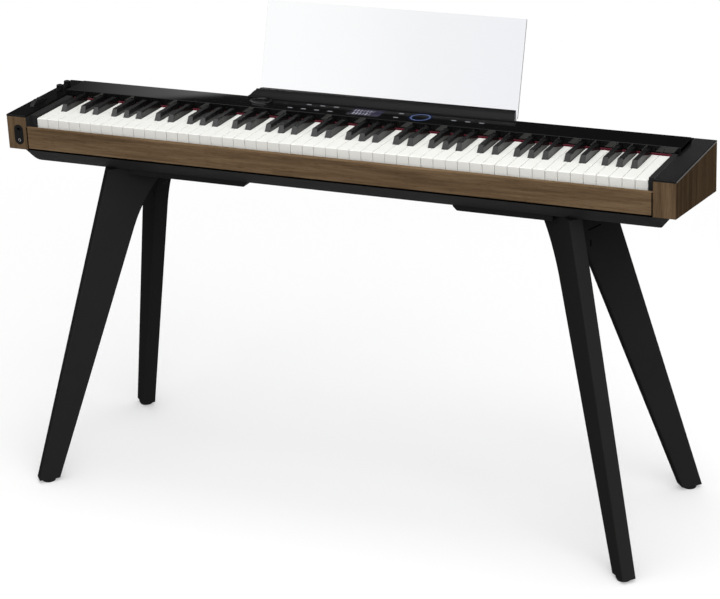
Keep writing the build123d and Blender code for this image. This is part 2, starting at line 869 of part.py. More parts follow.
def make_music_rest():
    """Raised rail at the back of the panel and the clear sheet standing in its slot."""
    top = panel_top + rail_rise
    run = (rear_y - rail_front_y) / 2
    middle_y = rail_front_y + run
    side = outline([
        (rail_front_y, panel_top), (rail_front_y + rail_groove, panel_top + rail_step),
        (rail_front_y + 2 * rail_groove, panel_top + rail_step),
        (middle_y - rail_groove, top - rail_step), (middle_y, top - rail_step),
        (middle_y + rail_groove, top), (rear_y, top), (rear_y, deck_height),
        (panel_rear + panel_step_run, deck_height), (panel_rear, panel_top),
    ])
    plan = outline([
        (rail_front_left, rail_front_y), (rail_front_right, rail_front_y),
        (rail_rear_right, rear_y), (rail_rear_left, rear_y),
    ])
    rail = along_z(plan, deck_height, top) & along_x(side, rail_front_left, rail_front_right)
    half = rest_thickness / 2 + slot_clearance
    slot = outline([
        rest_point(0, -half), rest_point(rest_height, -half),
        rest_point(rest_height, half), rest_point(0, half),
    ])
    rail -= along_x(slot, rest_left - rail_rise, rest_right + rail_rise)
    save("music_rest_rail", [rail])
    half = rest_thickness / 2
    sheet_side = outline([
        rest_point(0, -half), rest_point(rest_height, -half),
        rest_point(rest_height, half), rest_point(0, half),
    ])
    sheet = along_x(sheet_side, rest_left, rest_right)
    top_face = sheet.faces().sort_by(Axis.Z)[-1]
    top_corners = top_face.edges().filter_by(Axis.X, reverse=True)
    save("music_rest", [fillet(top_corners, rest_corner)])


def leg_profile():
    """Board outline in its own plane: distance outwards from the outer foot corner, and height.
    Its head reaches the case beside the plate and steps down to pass under the plate."""
    outer_top = -leg_outer_lean * (under_z - foot_height)
    angle = radians(leg_plane_angle)
    clear = leg_corner_x - plate_outer - plate_gap - leg_thickness / 2 * sin(angle)
    step = -clear / cos(angle)
    inner_arc = -leg_foot_width - leg_inner_lean * (leg_arc_start - foot_height)
    head_inner = -leg_outer_lean * (leg_top - foot_height) - leg_head_width
    lip_z = leg_top - leg_head_lip
    lower = Polyline(
        (inner_arc, leg_arc_start), (-leg_foot_width, foot_height), (0, foot_height),
        (outer_top, under_z), (step, under_z), (step, leg_top),
        (head_inner, leg_top), (head_inner, lip_z),
    )
    arc = TangentArc((inner_arc, leg_arc_start), (head_inner, lip_z), tangent=(-leg_inner_lean, 1))
    return make_face(lower + arc)


def make_stand():
    """Four leaning boards under two mounting plates, with feet and bolts."""
    profile = leg_profile()
    angle = radians(leg_plane_angle)
    feet = []
    for end, sign_x in (("left", -1), ("right", 1)):
        for side, sign_y in (("front", -1), ("rear", 1)):
            out = Vector(sign_x * cos(angle), sign_y * sin(angle), 0)
            corner = Vector(sign_x * leg_corner_x, sign_y * leg_corner_y, 0)
            across = out.cross(Vector(0, 0, 1))
            plane = Plane(origin=corner - across * (leg_thickness / 2), x_dir=out, z_dir=across)
            leg = extrude(plane * profile, amount=leg_thickness)
            tall_edges = leg.edges().filter_by(lambda edge: edge.bounding_box().size.Z > 2 * leg_head_lip)
            save(f"{side}_{end}_leg", [chamfer(tall_edges, leg_edge)])
            foot = corner - out * (leg_foot_width / 2)
            feet.append(post(foot.X, foot.Y, 0, foot_height, foot_radius))
    save("foot_glides", feet)

    plates = []
    for low, high, inner in ((-plate_outer, plate_inner_left, 1), (plate_inner_right, plate_outer, 0)):
        plate = block((low, high), (plate_front_y, -plate_front_y), (leg_top, under_z))
        low_edge = plate.edges().filter_by(Axis.Y).sort_by(Axis.Z)[:2].sort_by(Axis.X)[inner]
        plates.append(chamfer(low_edge, plate_chamfer))
    bolts = []
    for x, y in bolt_places():
        plates = [plate - post(x, y, leg_top, under_z, bolt_radius + bolt_clearance) for plate in plates]
        head = post(x, y, leg_top - bolt_head_height, leg_top, bolt_head_radius)
        bolts.append(head + post(x, y, leg_top, floor_z, bolt_radius))
    save("stand_plates", plates)
    save("stand_bolts", bolts)


os.makedirs("parts", exist_ok=True)
make_case()
pots = make_left_end()
make_right_end()
make_key_slip()
make_key_blocks()
make_frame()
make_boards()
make_speakers()
make_rear_connectors()
encoder = make_panel()
save("rotary_encoders", pots + [encoder])
make_music_rest()
for step, note in enumerate(note_names):
    keys, hammers = keys_of(step)
    save(f"{note}_keys", keys)
    save(f"{note}_hammers", hammers)
make_stand()
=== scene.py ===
# %% [markdown]
# # A digital piano on a four-legged stand
# The construction model is already packed, with every piece in place and in metres. This lesson
# dresses it: it loads that model as a fixed frame, rolls the sharp edges of the pieces that show,
# adds the small pieces that the construction leaves out, and gives each surface its finish.

import json
import math

import bmesh
import bpy
import numpy as np
from mathutils import Matrix, Vector

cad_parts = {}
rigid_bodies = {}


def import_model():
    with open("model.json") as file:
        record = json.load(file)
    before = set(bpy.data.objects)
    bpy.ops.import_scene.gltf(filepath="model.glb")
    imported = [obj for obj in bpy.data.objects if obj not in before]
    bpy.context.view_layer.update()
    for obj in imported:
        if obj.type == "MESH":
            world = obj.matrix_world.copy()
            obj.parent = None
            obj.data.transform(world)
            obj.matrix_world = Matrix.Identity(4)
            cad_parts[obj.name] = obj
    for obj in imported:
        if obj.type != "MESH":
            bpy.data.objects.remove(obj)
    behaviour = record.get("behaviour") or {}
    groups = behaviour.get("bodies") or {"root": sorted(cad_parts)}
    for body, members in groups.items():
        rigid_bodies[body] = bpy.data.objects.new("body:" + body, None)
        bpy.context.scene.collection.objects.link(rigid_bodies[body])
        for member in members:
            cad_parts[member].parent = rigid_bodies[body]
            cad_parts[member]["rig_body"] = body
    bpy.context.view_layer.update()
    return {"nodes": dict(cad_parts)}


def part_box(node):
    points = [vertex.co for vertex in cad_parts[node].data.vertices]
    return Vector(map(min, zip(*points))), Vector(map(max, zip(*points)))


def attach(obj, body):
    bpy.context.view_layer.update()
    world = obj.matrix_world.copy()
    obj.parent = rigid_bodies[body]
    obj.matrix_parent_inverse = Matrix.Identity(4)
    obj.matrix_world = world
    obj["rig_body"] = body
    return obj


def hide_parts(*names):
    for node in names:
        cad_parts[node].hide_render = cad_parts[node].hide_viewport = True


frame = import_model()
nodes = frame["nodes"]

# %% [markdown]
# ## Camera
# The photograph was taken from the player's right, a little above, with a long lens. The camera
# could be placed by eye, but then every later comparison would mix up wrong shapes with a wrong
# view. Instead its place and turn come from matching known lengths, so they are plain numbers here.

# %% Camera
def turned_to(right, up, back, place):
    """World matrix with these three directions as its axes, at a place."""
    turn = np.eye(4)
    turn[:3, :3] = np.stack([right, up, back], axis=1)
    turn[:3, 3] = place
    return Matrix(turn.tolist())


FOCAL_PIXELS = 2358.52
PHOTO_WIDTH = 720
SENSOR_WIDTH = 36.0
CAMERA_PLACE = (1.8014, -3.7799, 2.0450)
azimuth, elevation, roll = np.radians([25.379, 21.580, -2.532])
back = np.array([
    math.sin(azimuth) * math.cos(elevation),
    -math.cos(azimuth) * math.cos(elevation),
    math.sin(elevation),
])
level = np.array([math.cos(azimuth), math.sin(azimuth), 0.0])
upright = np.cross(back, level)
right = math.cos(roll) * level + math.sin(roll) * upright
up = math.cos(roll) * upright - math.sin(roll) * level
camera_data = bpy.data.cameras.new("camera")
camera_data.sensor_width = SENSOR_WIDTH
camera_data.lens = FOCAL_PIXELS / PHOTO_WIDTH * SENSOR_WIDTH
camera_data.clip_end = 200.0
camera = bpy.data.objects.new("camera", camera_data)
camera.matrix_world = turned_to(right, up, back, CAMERA_PLACE)
bpy.context.scene.collection.objects.link(camera)
bpy.context.scene.camera = camera
bpy.context.scene.view_settings.view_transform = "Standard"
print("camera lens", round(camera_data.lens, 2), "mm")

# %% [markdown]
# ## Building blocks for finishes
# Every finish is a small node tree. Two effects come back in many of them, so they are node groups
# that are built once: a fine speckle for moulded, painted and lacquered surfaces, and a wood grain.
# Groups only put out masks. The shader itself stays in each material, where the export can read it.

# %% Node helpers
def feed(socket, value):
    """Give an input a value, or link another node's output to it."""
    if isinstance(value, bpy.types.NodeSocket):
        socket.id_data.links.new(value, socket)
    else:
        socket.default_value = value


def set_inputs(node, **inputs):
    """Feed a node's inputs by name, with _ for a space."""
    for key, value in inputs.items():
        feed(node.inputs[key.replace("_", " ")], value)
    return node


def add_node(tree, kind, **inputs):
    """Add a shader node and feed its inputs."""
    return set_inputs(tree.nodes.new("ShaderNode" + kind), **inputs)


def new_group(name, inputs, outputs):
    """Empty shader group with named sockets."""
    group = bpy.data.node_groups.new(name, "ShaderNodeTree")
    for label, kind, value in inputs:
        socket = group.interface.new_socket(name=label, in_out="INPUT", socket_type=kind)
        socket.default_value = value
    for label in outputs:
        group.interface.new_socket(name=label, in_out="OUTPUT", socket_type="NodeSocketFloat")
    return group, group.nodes.new("NodeGroupInput"), group.nodes.new("NodeGroupOutput")


def spread(tree, source, low, high, start=0.0, end=1.0):
    """Map a mask from start and end to low and high."""
    node = add_node(tree, "MapRange", Value=source, From_Min=start, From_Max=end, To_Min=low, To_Max=high)
    return node.outputs["Result"]


def maths(tree, operation, *values, kind="Math", result="Value"):
    """Maths node on sockets or values; the kind VectorMath is for vectors."""
    node = tree.nodes.new("ShaderNode" + kind)
    node.operation = operation
    for socket, value in zip(node.inputs, values):
        feed(socket, value)
    return node.outputs[result]


def object_place(tree):
    """Object coordinates, in metres."""
    return tree.nodes.new("ShaderNodeTexCoord").outputs["Object"]


def stretched_place(tree, entry):
    """Object coordinates, plain and times a group's own Stretch input."""
    place = object_place(tree)
    return place, maths(tree, "MULTIPLY", place, entry.outputs["Stretch"], kind="VectorMath", result="Vector")


print("node helpers ready")

# %% Speckle group
def speckle_group():
    """Fine grains and broad haze: two noises on stretched object coordinates."""
    group, entry, leave = new_group(
        "speckle",
        [("Stretch", "NodeSocketVector", (900.0, 900.0, 900.0)), ("Broad", "NodeSocketFloat", 9.0)],
        ["Grains", "Haze"],
    )
    place, stretched = stretched_place(group, entry)
    broad = entry.outputs["Broad"]
    grains = add_node(group, "TexNoise", Vector=stretched, Scale=1.0, Detail=3.0, Roughness=0.6)
    haze = add_node(group, "TexNoise", Vector=place, Scale=broad, Detail=4.0, Roughness=0.55)
    set_inputs(leave, Grains=grains.outputs["Fac"], Haze=haze.outputs["Fac"])
    return group


speckle = speckle_group()
print("speckle group with", len(speckle.nodes), "nodes")

# %% Wood grain group
def grain_group():
    """Wood figure: broad bands, narrow streaks and short dark pores, all drawn out along the grain."""
    group, entry, leave = new_group(
        "wood_grain", [("Stretch", "NodeSocketVector", (3.0, 60.0, 60.0))], ["Tone", "Pores"]
    )
    stretched = stretched_place(group, entry)[1]
    bands = add_node(group, "TexNoise", Scale=1.0, Detail=3.0, Roughness=0.5, Distortion=0.7)
    streaks = add_node(group, "TexNoise", Scale=4.2, Detail=6.0, Roughness=0.62)
    pores = add_node(group, "TexNoise", Scale=19.0, Detail=2.0, Roughness=0.5)
    for noise in (bands, streaks, pores):
        set_inputs(noise, Vector=stretched)
    streak_share = maths(group, "MULTIPLY", streaks.outputs["Fac"], 0.45)
    tone = maths(group, "MULTIPLY_ADD", bands.outputs["Fac"], 0.55, streak_share)
    set_inputs(leave, Tone=tone, Pores=spread(group, pores.outputs["Fac"], 0.0, 1.0, 0.58, 0.74))
    return group


grain = grain_group()
print("wood grain group with", len(grain.nodes), "nodes")

# %% [markdown]
# ## Finishes
# The piano has oiled walnut on its front and ends, gloss black on the panel, satin black on the
# case and stand, ivory-look and ebony-look keys, and a clear sheet for the music. Most of the
# plastics and paints differ only in colour, gloss and grain size, so one function makes them all.

# %% Material helpers
def new_finish(name):
    """Material with one Principled shader."""
    material = bpy.data.materials.new(name)
    material.use_nodes = True
    tree = material.node_tree
    tree.nodes.clear()
    shader = tree.nodes.new("ShaderNodeBsdfPrincipled")
    add_node(tree, "OutputMaterial", Surface=shader.outputs["BSDF"])
    return material, tree, shader


def place_group(tree, group, **inputs):
    """Put a group into a material with its own values."""
    node = tree.nodes.new("ShaderNodeGroup")
    node.node_tree = group
    return set_inputs(node, **inputs)


def tint(tree, mask, first, second, kind="MIX"):
    """Blend two colours by a mask; each colour is a socket or three numbers."""
    node = tree.nodes.new("ShaderNodeMix")
    node.data_type = "RGBA"
    node.blend_type = kind
    colours = [socket for socket in node.inputs if socket.type == "RGBA"]
    for socket, colour in zip(colours, (first, second)):
        feed(socket, (*colour, 1.0) if isinstance(colour, tuple) else colour)
    feed(node.inputs[0], mask)
    return next(socket for socket in node.outputs if socket.type == "RGBA")


def emboss(tree, shader, height, depth, strength):
    """Bump from a height mask, depth in metres."""
    node = add_node(tree, "Bump", Strength=strength, Distance=depth, Height=height)
    set_inputs(shader, Normal=node.outputs["Normal"])


print("material helpers ready")

# %% Plastics, paints and metals
BUMP_STRENGTH = 0.25


def speckled_finish(name, dark, light, gloss, stretch, depth, broad=9.0, metallic=0.0, shine=0.5):
    """Colour between two tones and roughness between two values, both by the haze; bump by the grains.
    A depth of zero leaves the surface polished, and shine is the shader's specular level."""
    material, tree, shader = new_finish(name)
    marks = place_group(tree, speckle, Stretch=stretch, Broad=broad).outputs
    set_inputs(
        shader, Base_Color=tint(tree, marks["Haze"], dark, light),
        Roughness=spread(tree, marks["Haze"], *gloss, 0.3, 0.7),
        Metallic=metallic, Specular_IOR_Level=shine,
    )
    if depth > 0.0:
        emboss(tree, shader, marks["Grains"], depth, BUMP_STRENGTH)
    return material


def grey(value):
    """Neutral colour."""
    return (value, value, value)


FINE = (900.0, 900.0, 900.0)


def plain_finish(name, tones, gloss, shine, depth=0.0):
    """Neutral paint or plastic between two grey tones, with a fine grain if it has a depth."""
    return speckled_finish(name, grey(tones[0]), grey(tones[1]), gloss, FINE, depth, shine=shine)


case_black = plain_finish("case_black", (0.020, 0.027), (0.55, 0.65), 0.02, 0.0002)
cap_black = plain_finish("cap_black", (0.003, 0.005), (0.16, 0.22), 0.1)
rail_black = plain_finish("rail_black", (0.003, 0.005), (0.28, 0.34), 0.09)
panel_gloss = plain_finish("panel_gloss", (0.004, 0.0055), (0.012, 0.022), 0.5)
plate_black = plain_finish("plate_black", (0.010, 0.014), (0.5, 0.6), 0.04, 0.0003)
dial_black = plain_finish("dial_black", (0.003, 0.005), (0.18, 0.26), 0.3)
wheel_black = plain_finish("wheel_black", (0.006, 0.009), (0.45, 0.55), 0.25, 0.0002)
jack_black = plain_finish("jack_black", (0.006, 0.009), (0.40, 0.50), 0.06, 0.0002)
gap_black = plain_finish("gap_black", (0.001, 0.0016), (0.85, 0.95), 0.0)
foot_rubber = plain_finish("foot_rubber", (0.006, 0.010), (0.7, 0.8), 0.15, 0.0003)
speaker_black = plain_finish("speaker_black", (0.012, 0.02), (0.5, 0.6), 0.5, 0.0002)
hammer_paint = plain_finish("hammer_paint", (0.16, 0.21), (0.45, 0.55), 0.5, 0.0002)
leg_lacquer = speckled_finish(
    "leg_lacquer", grey(0.019), grey(0.023), (0.44, 0.54), (700.0, 700.0, 60.0), 0.0002, shine=0.0
)
ivory_white = speckled_finish(
    "ivory_white", (0.82, 0.82, 0.785), (0.85, 0.85, 0.815), (0.28, 0.36),
    (1400.0, 160.0, 1400.0), 0.00006, shine=0.3,
)
ebony_black = speckled_finish(
    "ebony_black", grey(0.013), grey(0.018), (0.08, 0.13), (1300.0, 140.0, 1300.0), 0.0
)
rod_steel = speckled_finish(
    "rod_steel", grey(0.50), grey(0.62), (0.22, 0.32), (60.0, 1600.0, 1600.0), 0.00003, metallic=1.0
)
frame_zinc = speckled_finish("frame_zinc", grey(0.34), grey(0.46), (0.35, 0.5), FINE, 0.0001, 60.0, 1.0)
board_green = speckled_finish(
    "board_green", (0.02, 0.11, 0.045), (0.03, 0.15, 0.06), (0.3, 0.4), FINE, 0.0001
)
print("speckled finishes", len(bpy.data.materials))

# %% [markdown]
# ### Black keys and walnut
# The rear half of each black key mirrors the dark panel, so it is dimmer than the front half. A slow
# change along the key stands in for that. The walnut has its grain along the slip and upright on the
# cheeks, and the cheeks' outer sides are darkened with painted shade.

# %% Black keys that dim towards the panel
def node_of(tree, kind):
    """The one node of a kind in a tree."""
    return next(node for node in tree.nodes if node.type == kind)


def object_axis(tree, axis):
    """One of the object coordinates, in metres."""
    return add_node(tree, "SeparateXYZ", Vector=object_place(tree)).outputs[axis]


EBONY_FRONT = -0.024
EBONY_REAR = 0.006
EBONY_DIM = grey(0.32)
EBONY_SHINE = (0.34, 0.12)
ebony_tree = ebony_black.node_tree
ebony_shader = node_of(ebony_tree, "BSDF_PRINCIPLED")
to_panel = spread(ebony_tree, object_axis(ebony_tree, "Y"), 0.0, 1.0, EBONY_FRONT, EBONY_REAR)
ebony_tone = ebony_shader.inputs["Base Color"].links[0].from_socket
set_inputs(
    ebony_shader, Base_Color=tint(ebony_tree, to_panel, ebony_tone, EBONY_DIM, "MULTIPLY"),
    Specular_IOR_Level=spread(ebony_tree, to_panel, *EBONY_SHINE),
)
print("black keys dim from", EBONY_FRONT, "to", EBONY_REAR)

# %% Walnut
END_X = 0.67
END_PAINTED_SHADE = (0.58, 0.58, 0.60)
PORE_TINT = (0.52, 0.46, 0.42)
PORE_DEPTH = 0.0002
PORE_STRENGTH = 0.35
WALNUT_TONES = ((0.092, 0.058, 0.031), (0.143, 0.093, 0.052), (0.200, 0.134, 0.077))


def walnut_finish(name, stretch, shade):
    """Walnut: a three-tone ramp along the grain's tone, darker in the pores; shade dims the whole.
    The outer sides of the cheeks, at the ends of the piano, are darkened with painted shade."""
    material, tree, shader = new_finish(name)
    wood = place_group(tree, grain, Stretch=stretch).outputs
    ramp = add_node(tree, "ValToRGB", Fac=wood["Tone"])
    ramp.color_ramp.elements.new(0.50)
    tones = np.array(WALNUT_TONES) * shade
    for stop, position, tone in zip(ramp.color_ramp.elements, (0.36, 0.50, 0.66), tones):
        stop.position = position
        stop.color = (*tone, 1.0)
    wooden = tint(tree, wood["Pores"], ramp.outputs["Color"], PORE_TINT, "MULTIPLY")
    # Painted shade: the outer side faces of the cheeks, at the ends of the piano, are darkened in colour.
    away = maths(tree, "ABSOLUTE", object_axis(tree, "X"))
    painted_end_shade = spread(tree, away, 0.0, 1.0, END_X - 0.0008, END_X - 0.0002)
    set_inputs(
        shader, Base_Color=tint(tree, painted_end_shade, wooden, END_PAINTED_SHADE, "MULTIPLY"),
        Roughness=spread(tree, wood["Pores"], 0.40, 0.62), Specular_IOR_Level=0.0,
    )
    emboss(tree, shader, spread(tree, wood["Pores"], 1.0, 0.0), PORE_DEPTH, PORE_STRENGTH)
    return material


walnut_long = walnut_finish("walnut_long", (3.0, 60.0, 60.0), 1.0)
walnut_upright = walnut_finish("walnut_upright", (60.0, 60.0, 3.0), 0.88)
print("walnut along X and along Z")

# %% [markdown]
# ### Panel, display and ring
# The panel is polished black. A ring of light is let into it, and its blue glow spreads a little way
# into the surface, so the panel's own material glows around the ring by distance. The display shows
# plain rows of lit blocks, without letters: a brick pattern with uneven brightness does that well.

# %% Panel gloss with the glow around the ring
panel_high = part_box("control_panel")[1]
ring_low, ring_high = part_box("touch_ring")
ring_middle = (ring_low + ring_high) / 2
RING_RADIUS = 0.0177


def ring_distance(tree):
    """How far a point lies from the middle line of the light ring."""
    middle = (ring_middle.x, ring_middle.y, ring_high.z)
    away = maths(tree, "DISTANCE", object_place(tree), middle, kind="VectorMath")
    return maths(tree, "ABSOLUTE", maths(tree, "SUBTRACT", away, RING_RADIUS))


GLOW_REACH = (0.001, 0.009)
CORE_REACH = (0.0002, 0.0013)
panel_tree = panel_gloss.node_tree
glow = spread(panel_tree, ring_distance(panel_tree), 1.0, 0.0, *GLOW_REACH)
glow_colour = tint(panel_tree, glow, grey(0.0), (0.001, 0.005, 0.022))
panel_shader = node_of(panel_tree, "BSDF_PRINCIPLED")
set_inputs(panel_shader, Emission_Color=glow_colour, Emission_Strength=1.0)
ring_light, ring_tree, ring_shader = new_finish("ring_light")
core = spread(ring_tree, ring_distance(ring_tree), 1.0, 0.0, *CORE_REACH)
set_inputs(
    ring_shader, Emission_Color=tint(ring_tree, core, (0.0015, 0.007, 0.045), (0.170, 0.230, 0.420)),
    Base_Color=tint(ring_tree, core, (0.003, 0.006, 0.015), (0.06, 0.09, 0.20)),
    Emission_Strength=1.0, Roughness=0.2,
)
print("ring middle", [round(v, 4) for v in ring_middle])

# %% Display rows
ROWS_LEFT = 5.0
ROWS_FRONT = 4.0
ROWS_TOP = 31.0
DISPLAY_PLAIN = (0.018, 0.016, 0.032)
DISPLAY_EDGE = (0.002, 0.002, 0.003)
display_low, display_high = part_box("display_window")
display_lit, display_tree, display_shader = new_finish("display_lit")
to_rows = add_node(
    display_tree, "Mapping", Vector=object_place(display_tree), Scale=(1000.0, 1000.0, 1000.0),
    Location=(-1000.0 * display_low.x - ROWS_LEFT, -1000.0 * display_low.y - ROWS_FRONT, 0.0),
).outputs["Vector"]
rows = add_node(
    display_tree, "TexBrick", Vector=to_rows, Scale=1.0, Mortar_Size=1.7, Mortar_Smooth=0.3, Bias=-0.1,
    Brick_Width=6.5, Row_Height=15.5, Color1=(0.30, 0.29, 0.36, 1.0),
    Color2=(0.014, 0.013, 0.022, 1.0), Mortar=(0.008, 0.007, 0.014, 1.0),
)
row_x, row_y = add_node(display_tree, "SeparateXYZ", Vector=to_rows).outputs[:2]
PLAIN_FROM = np.array([0.62, 0.66])
display_width = 1000.0 * (display_high.x - display_low.x)
plain_part = spread(display_tree, row_x, 0.0, 1.0, *(PLAIN_FROM * display_width))
shown_rows = tint(display_tree, plain_part, rows.outputs["Color"], DISPLAY_PLAIN)
edge = spread(display_tree, row_x, 1.0, 0.0, 1.5, 2.5)
for start, end in ((0.5, -0.5), (ROWS_TOP - 0.5, ROWS_TOP + 0.5)):
    edge = maths(display_tree, "MAXIMUM", edge, spread(display_tree, row_y, 0.0, 1.0, start, end))
framed_rows = tint(display_tree, edge, shown_rows, DISPLAY_EDGE)
set_inputs(
    display_shader, Emission_Color=framed_rows, Emission_Strength=1.0,
    Base_Color=(0.006, 0.006, 0.012, 1.0), Roughness=spread(display_tree, rows.outputs["Fac"], 0.08, 0.12),
)
print("display", [round(v * 1000) for v in display_high - display_low], "mm")

# %% [markdown]
# ### Felt, lit marks and clear sheet
# The red strip behind the keys is pressed felt: colour and bump follow short fibres. The panel's
# touch marks are printed windows with light behind them. The music rest is clear acrylic, which is
# real refraction here rather than see-through paint, so that its edges gather light as they should.

# %% Felt, marks and acrylic
def felt_finish(name, dark, light):
    """Felt: fibres in the colour and bump, with a soft sheen."""
    material, tree, shader = new_finish(name)
    fibres = place_group(tree, speckle, Stretch=(1500.0, 500.0, 900.0), Broad=300.0).outputs
    set_inputs(
        shader, Base_Color=tint(tree, fibres["Grains"], dark, light),
        Roughness=spread(tree, fibres["Haze"], 0.85, 0.98), Sheen_Weight=0.1, Specular_IOR_Level=0.1,
    )
    emboss(tree, shader, fibres["Grains"], 0.0004, 0.6)
    return material


red_felt = felt_finish("red_felt", (0.050, 0.002, 0.008), (0.115, 0.004, 0.016))
stop_felt = felt_finish("stop_felt", (0.36, 0.34, 0.29), (0.52, 0.50, 0.44))

mark_light, mark_tree, mark_shader = new_finish("mark_light")
uneven = place_group(mark_tree, speckle, Stretch=(400.0, 400.0, 400.0), Broad=200.0).outputs["Haze"]
set_inputs(
    mark_shader, Emission_Color=tint(mark_tree, uneven, (0.16, 0.16, 0.175), (0.26, 0.265, 0.28)),
    Emission_Strength=1.0, Base_Color=(0.05, 0.05, 0.055, 1.0),
    Roughness=spread(mark_tree, uneven, 0.2, 0.3),
)

ACRYLIC_IOR = 1.49
# Painted shade: the clear sheet's colour turns greyer and bluer towards the right.
SHEET_SHADE_X = (-0.05, 0.28)
clear_acrylic, sheet_tree, sheet_shader = new_finish("clear_acrylic")
cloud = place_group(sheet_tree, speckle, Stretch=(300.0, 300.0, 300.0), Broad=6.0).outputs["Haze"]
sheet_painted_shade = spread(sheet_tree, object_axis(sheet_tree, "X"), 0.0, 1.0, *SHEET_SHADE_X)
set_inputs(
    sheet_shader, Base_Color=tint(sheet_tree, sheet_painted_shade, (0.985, 0.992, 1.0), (0.938, 0.945, 0.975)),
    Roughness=spread(sheet_tree, cloud, 0.0, 0.02), Transmission_Weight=1.0, IOR=ACRYLIC_IOR,
)
print("finishes in all", len(bpy.data.materials))

# %% [markdown]
# ## Pieces with rolled edges
# A real edge is never knife sharp, and the thin bright line along it is what makes a black object
# readable. The construction pieces have the right shapes, so each one that shows is copied, its loose
# triangles are merged into whole faces, and a Bevel modifier rolls the edges that are long enough to
# catch light. Short edges, such as those round a hole, stay as they are.

# %% Rolled copies of the construction pieces
SHARP_ANGLE = math.radians(25.0)
FLAT_ANGLE = math.radians(0.2)
SAME_PLACE = 1e-6


def sharp_edges(work, shortest, zone):
    """Edges over the sharp angle and at least this long, whose middle lies in a zone of the piece."""
    chosen = []
    for edge in work.edges:
        if len(edge.link_faces) != 2 or edge.calc_length() < shortest:
            continue
        if edge.calc_face_angle() < SHARP_ANGLE:
            continue
        middle = (edge.verts[0].co + edge.verts[1].co) / 2
        if zone is None or zone(middle):
            chosen.append(edge)
    return chosen


def give(piece, material):
    """Set a piece's only material."""
    piece.data.materials.clear()
    piece.data.materials.append(material)


def rolled_copy(node, radius, material, shortest=0.0, zone=None, segments=2, flat_over=0.0):
    """Merged copy of a node with chosen edges rolled to a radius; it stands for that node.
    Faces over an area in square metres are shaded flat, so that polished planes mirror straight."""
    mesh = nodes[node].data.copy()
    mesh.name = node + "_rolled"
    work = bmesh.new()
    work.from_mesh(mesh)
    bmesh.ops.remove_doubles(work, verts=work.verts, dist=SAME_PLACE)
    bmesh.ops.dissolve_limit(work, angle_limit=FLAT_ANGLE, verts=work.verts, edges=work.edges)
    weight = work.edges.layers.float.new("bevel_weight_edge")
    chosen = sharp_edges(work, shortest, zone)
    for edge in chosen:
        edge[weight] = 1.0
    work.to_mesh(mesh)
    work.free()
    mesh.set_sharp_from_angle(angle=SHARP_ANGLE)
    areas = np.empty(len(mesh.polygons))
    mesh.polygons.foreach_get("area", areas)
    mesh.polygons.foreach_set("use_smooth", areas <= flat_over)
    piece = bpy.data.objects.new(node + "_rolled", mesh)
    bpy.context.scene.collection.objects.link(piece)
    give(piece, material)
    roll_edge = piece.modifiers.new("rolled_edge", "BEVEL")
    roll_edge.limit_method = "WEIGHT"
    roll_edge.width = radius
    roll_edge.segments = segments
    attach(piece, nodes[node]["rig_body"])
    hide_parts(node)
    return piece, len(chosen)


print("edges count as sharp over", round(math.degrees(SHARP_ANGLE)), "degrees")

# %% Rolled pieces
LEG_ROLL = 0.0010
LEG_EDGE = 0.02
LEG_FACE = 0.003
for node, radius, material, slot, shortest in (
    ("bottom_case", 0.0008, case_black, "satin_black", 0.05),
    ("key_blocks", 0.0005, case_black, "satin_black", 0.005),
    ("key_slip", 0.0009, walnut_long, "walnut", 0.03),
    ("left_cheek", 0.0010, walnut_upright, "walnut", 0.04),
    ("right_cheek", 0.0010, walnut_upright, "walnut", 0.04),
    ("left_cheek_cap", 0.0005, cap_black, "gloss_black", 0.02),
    ("right_cheek_cap", 0.0005, cap_black, "gloss_black", 0.02),
    ("control_panel", 0.0006, panel_gloss, "gloss_black", 0.3),
    ("music_rest_rail", 0.0006, rail_black, "satin_black", 0.1),
    ("music_rest", 0.0004, clear_acrylic, "clear_acrylic", 0.1),
    ("rear_jack_panel", 0.0003, case_black, "satin_black", 0.02),
    ("stand_plates", 0.0008, plate_black, "plate_black", 0.05),
    ("stop_felts", 0.0012, stop_felt, "stop_felt", 0.002),
):
    piece, count = rolled_copy(node, radius, material, shortest)
    print(piece.name, "edges rolled", count)
for node in ("front_left_leg", "rear_left_leg", "front_right_leg", "rear_right_leg"):
    piece, count = rolled_copy(node, LEG_ROLL, leg_lacquer, LEG_EDGE, flat_over=LEG_FACE)
    print(piece.name, "edges rolled", count)

# %% [markdown]
# ### Keys
# White keys have softly rolled tops and noses; black keys are rounder, and that roundness makes the
# pale line along each one. Only the part in front of the panel shows, so only edges there are rolled.

# %% Keys
KEY_REAR = 0.034
WHITE_BOTTOM = 0.7045
BLACK_BOTTOM = 0.7240
WHITE_ROLL = 0.0004
BLACK_ROLL = 0.0014
KEY_EDGE = 0.004


def shown_above(bottom):
    """Zone of a key in front of the panel and above a height."""
    return lambda middle: middle.y < KEY_REAR and middle.z > bottom


white_shown = shown_above(WHITE_BOTTOM)
black_shown = shown_above(BLACK_BOTTOM)
for node in sorted(name for name in nodes if name.endswith("_keys")):
    if "sharp" in node:
        piece, count = rolled_copy(node, BLACK_ROLL, ebony_black, KEY_EDGE, black_shown, 4)
    else:
        piece, count = rolled_copy(node, WHITE_ROLL, ivory_white, KEY_EDGE, white_shown)
    print(piece.name, "edges rolled", count)

# %% [markdown]
# ## Turned pieces
# The dial, the two knobs, the pitch wheel, the feet, the jack rims and all the screws are turned
# shapes: a profile carried round an axis. One function works out all points of such a surface at
# once, for many copies together, and a ripple on the radius gives grips, ribs and notches.

